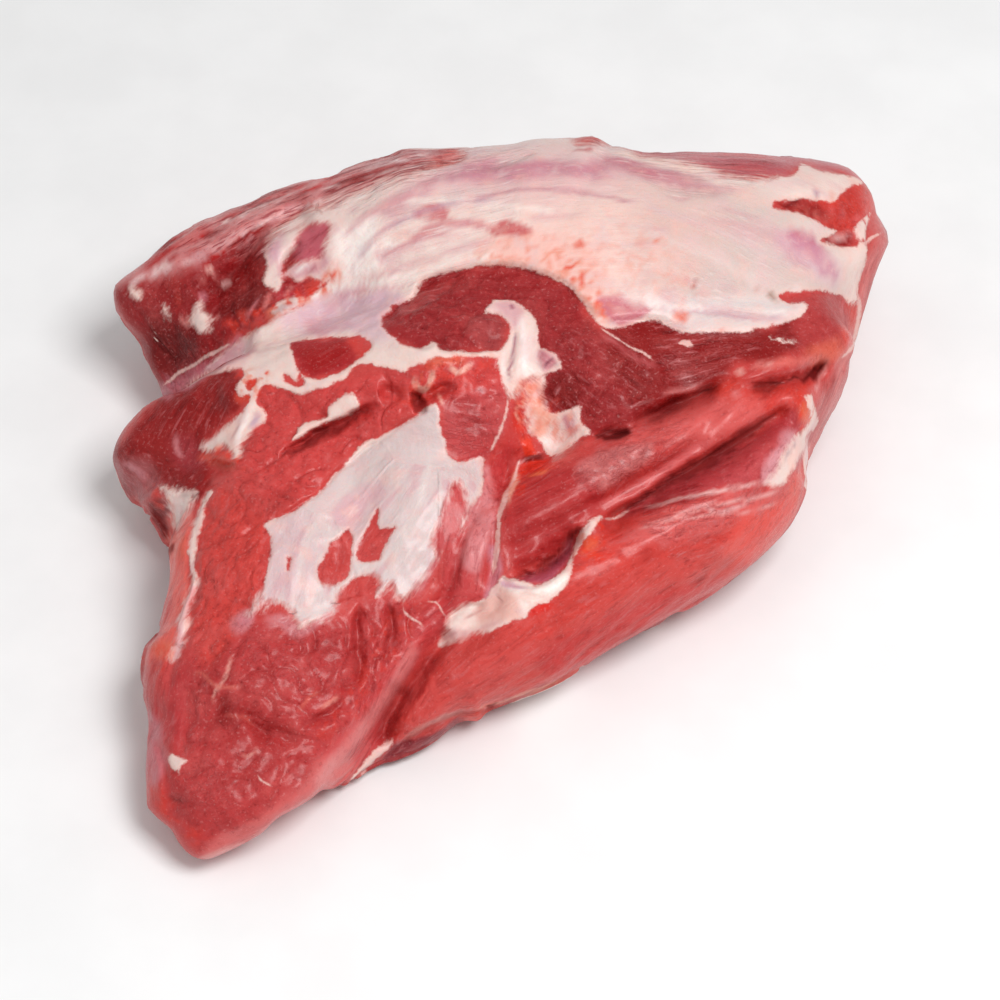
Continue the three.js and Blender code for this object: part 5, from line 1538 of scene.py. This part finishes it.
def fat_colour(shader, depth, grain, thread, clear):
    """Fat and skin: fine threads, a faint grain, and rosier along the edge."""
    fat = shader.attribute("fat", "Color")
    fat = shader.mix(shader.times(clear, shader.ramp(thread, 0.52, 0.75, 0, 0.2)), fat, LILAC_SKIN)
    fat = shader.mix(shader.times(clear, shader.ramp(thread, 0.46, 0.25, 0, 0.3)), fat, WHITE_FAT)
    fat = shader.mix(shader.ramp(grain, 0.5, 0.75, 0, 0.35), fat, ROSY_FAT)
    return shader.mix(shader.ramp(depth, 5, 0.5, 0, 0.35), fat, ROSY_FAT)


def meat_material():
    """Wet raw muscle with fat and silverskin on it, and dark creases."""
    shader = Shader("raw_meat")
    place = shader.place()
    fibre = shader.attribute("fibre", "Vector")
    depth, side, width = shader.parts(shader.attribute("pale", "Vector"))
    # The painted crease shade, how clear the fibres are, and how torn the muscle is.
    dark, clear, torn = shader.parts(shader.attribute("crease_shade_fibres_tears", "Vector"))
    crinkled = shader.attribute("crinkled")
    grain = shader.noise(place, 2.7 * MM, 5, 0.72)
    speck = shader.noise(place, 1.5 * MM, 1, 0.5)
    thread = shader.noise(fibre, 2.4 * MM, 3, 0.6, 0.3)
    half_along_fibres = shader.node("ShaderNodeVectorMath", {"operation": "ADD"}, {0: place, 1: fibre})
    waves = shader.noise(half_along_fibres, 6.5 * MM, 1.5, 0.6, 0.5)
    folds = shader.ramp(shader.math("ABSOLUTE", shader.minus(waves, 0.5)), 0.06, 0.0)

    depth = shader.plus(depth, shader.ramp(grain, 0.3, 0.7, -1.1, 1.1))
    pale = fat_share(shader, depth, thread)
    line = line_share(shader, side, width, grain, pale)
    flesh = muscle_colour(shader, grain, speck, thread, clear, torn)
    flesh = crinkled_colour(shader, flesh, waves, folds, crinkled)
    colour = shader.mix(pale, flesh, fat_colour(shader, depth, grain, thread, clear))
    colour = shader.mix(line, colour, THREAD_FAT)
    # Painted shade: the creases, hollows, tears and seams darken towards the painted crease shade.
    colour = shader.mix(shader.ramp(dark, 0.0, 0.9, 0, 0.95), colour, PAINTED_CREASE_SHADE)

    # The grain, the threads, the folds and the fat stand out, and the wet coat is thinner on what is dark.
    height = shader.times(shader.times(thread, clear), -0.8)
    height = shader.plus(height, shader.times(grain, shader.ramp(torn, 0, 1, -0.5, -1.1)))
    height = shader.plus(height, shader.times(pale, 0.35))
    height = shader.plus(height, shader.times(crinkled, shader.times(folds, 0.5)))
    bump = {"Strength": 0.9, "Distance": 1.0 * MM, "Height": height}
    brightness = shader.node("ShaderNodeRGBToBW", {}, {"Color": colour})
    shader.set(
        Base_Color=colour,
        Roughness=shader.plus(shader.ramp(speck, 0.3, 0.7, 0.3, 0.46), shader.times(dark, 0.8)),
        Coat_Weight=shader.ramp(brightness, 0.03, 0.16, 0.02, 0.3),
        Coat_Roughness=0.24,
        Specular_IOR_Level=0.2,
        Subsurface_Weight=0.2,
        Subsurface_Radius=(1.0, 0.35, 0.25),
        Subsurface_Scale=2.5 * MM,
        Normal=shader.node("ShaderNodeBump", {}, bump),
    )
    return shader.material


def floor_material():
    shader = Shader("pale_floor")
    speckle = shader.noise(shader.place(), 60 * MM, 4, 0.5)
    shader.set(Base_Color=shader.mix(shader.ramp(speckle, 0.3, 0.7), *FLOOR_GREYS), Roughness=0.7)
    return shader.material


# The piece, the floor, the light and the camera.
def mesh_object(name, points, triangles, material):
    mesh = bpy.data.meshes.new(name)
    mesh.from_pydata(points.tolist(), [], triangles.tolist())
    mesh.materials.append(material)
    mesh.polygons.foreach_set("use_smooth", np.ones(len(triangles), bool))
    made = bpy.data.objects.new(name, mesh)
    bpy.context.collection.objects.link(made)
    return made


def store(mesh, name, values, kind="FLOAT_VECTOR"):
    """Keeps a value for each point of the mesh, for its material to read."""
    if kind == "FLOAT_COLOR":
        values = np.concatenate([values, np.ones((len(values), 1))], axis=1)
    attribute = mesh.attributes.new(name, kind, "POINT")
    key = {"FLOAT_COLOR": "color", "FLOAT_VECTOR": "vector", "FLOAT": "value"}[kind]
    attribute.data.foreach_set(key, values.astype(np.float32).reshape(-1))


def make_floor():
    corners = FLOOR_HALF * np.array([(-1, -1, 0), (1, -1, 0), (1, 1, 0), (-1, 1, 0)])
    return mesh_object("floor", corners, np.array([(0, 1, 2), (0, 2, 3)]), floor_material())


def make_camera():
    data = bpy.data.cameras.new("photo_camera")
    data.lens = FOCAL_LENGTH
    data.sensor_width = SENSOR_WIDTH
    data.clip_start = NEAREST_SEEN
    camera = bpy.data.objects.new("photo_camera", data)
    camera.location = EYE.tolist()
    camera.rotation_euler = (math.pi / 2 - LOOK_DOWN, 0, 0)
    bpy.context.collection.objects.link(camera)
    bpy.context.scene.camera = camera


def soft_light(name, place, size, power):
    """A square panel of light that faces the meat."""
    data = bpy.data.lights.new(name, "AREA")
    data.size = size
    data.energy = power
    light = bpy.data.objects.new(name, data)
    light.location = place
    towards_meat = Vector(VIEW_TARGET.tolist()) - Vector(place)
    light.rotation_euler = towards_meat.to_track_quat("-Z", "Y").to_euler()
    bpy.context.collection.objects.link(light)


def make_light():
    world = bpy.data.worlds.new("soft_room")
    world.use_nodes = True
    background = world.node_tree.nodes["Background"]
    background.inputs["Color"].default_value = (1.0, 1.0, 1.0, 1.0)
    background.inputs["Strength"].default_value = ROOM_LIGHT
    bpy.context.scene.world = world
    for name, (place, size, power) in PANELS.items():
        soft_light(name, place, size, power)


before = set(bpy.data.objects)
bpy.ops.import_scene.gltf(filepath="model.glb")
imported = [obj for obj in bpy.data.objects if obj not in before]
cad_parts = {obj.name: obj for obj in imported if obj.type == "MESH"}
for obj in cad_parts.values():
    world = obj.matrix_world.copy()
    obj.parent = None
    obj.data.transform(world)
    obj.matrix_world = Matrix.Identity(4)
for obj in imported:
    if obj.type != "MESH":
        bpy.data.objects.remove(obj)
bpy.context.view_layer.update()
meat = make_meat(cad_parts["meat"])
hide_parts("meat")
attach(meat, "root")
make_floor()
make_light()
make_camera()
bpy.context.scene.view_settings.view_transform = "Standard"
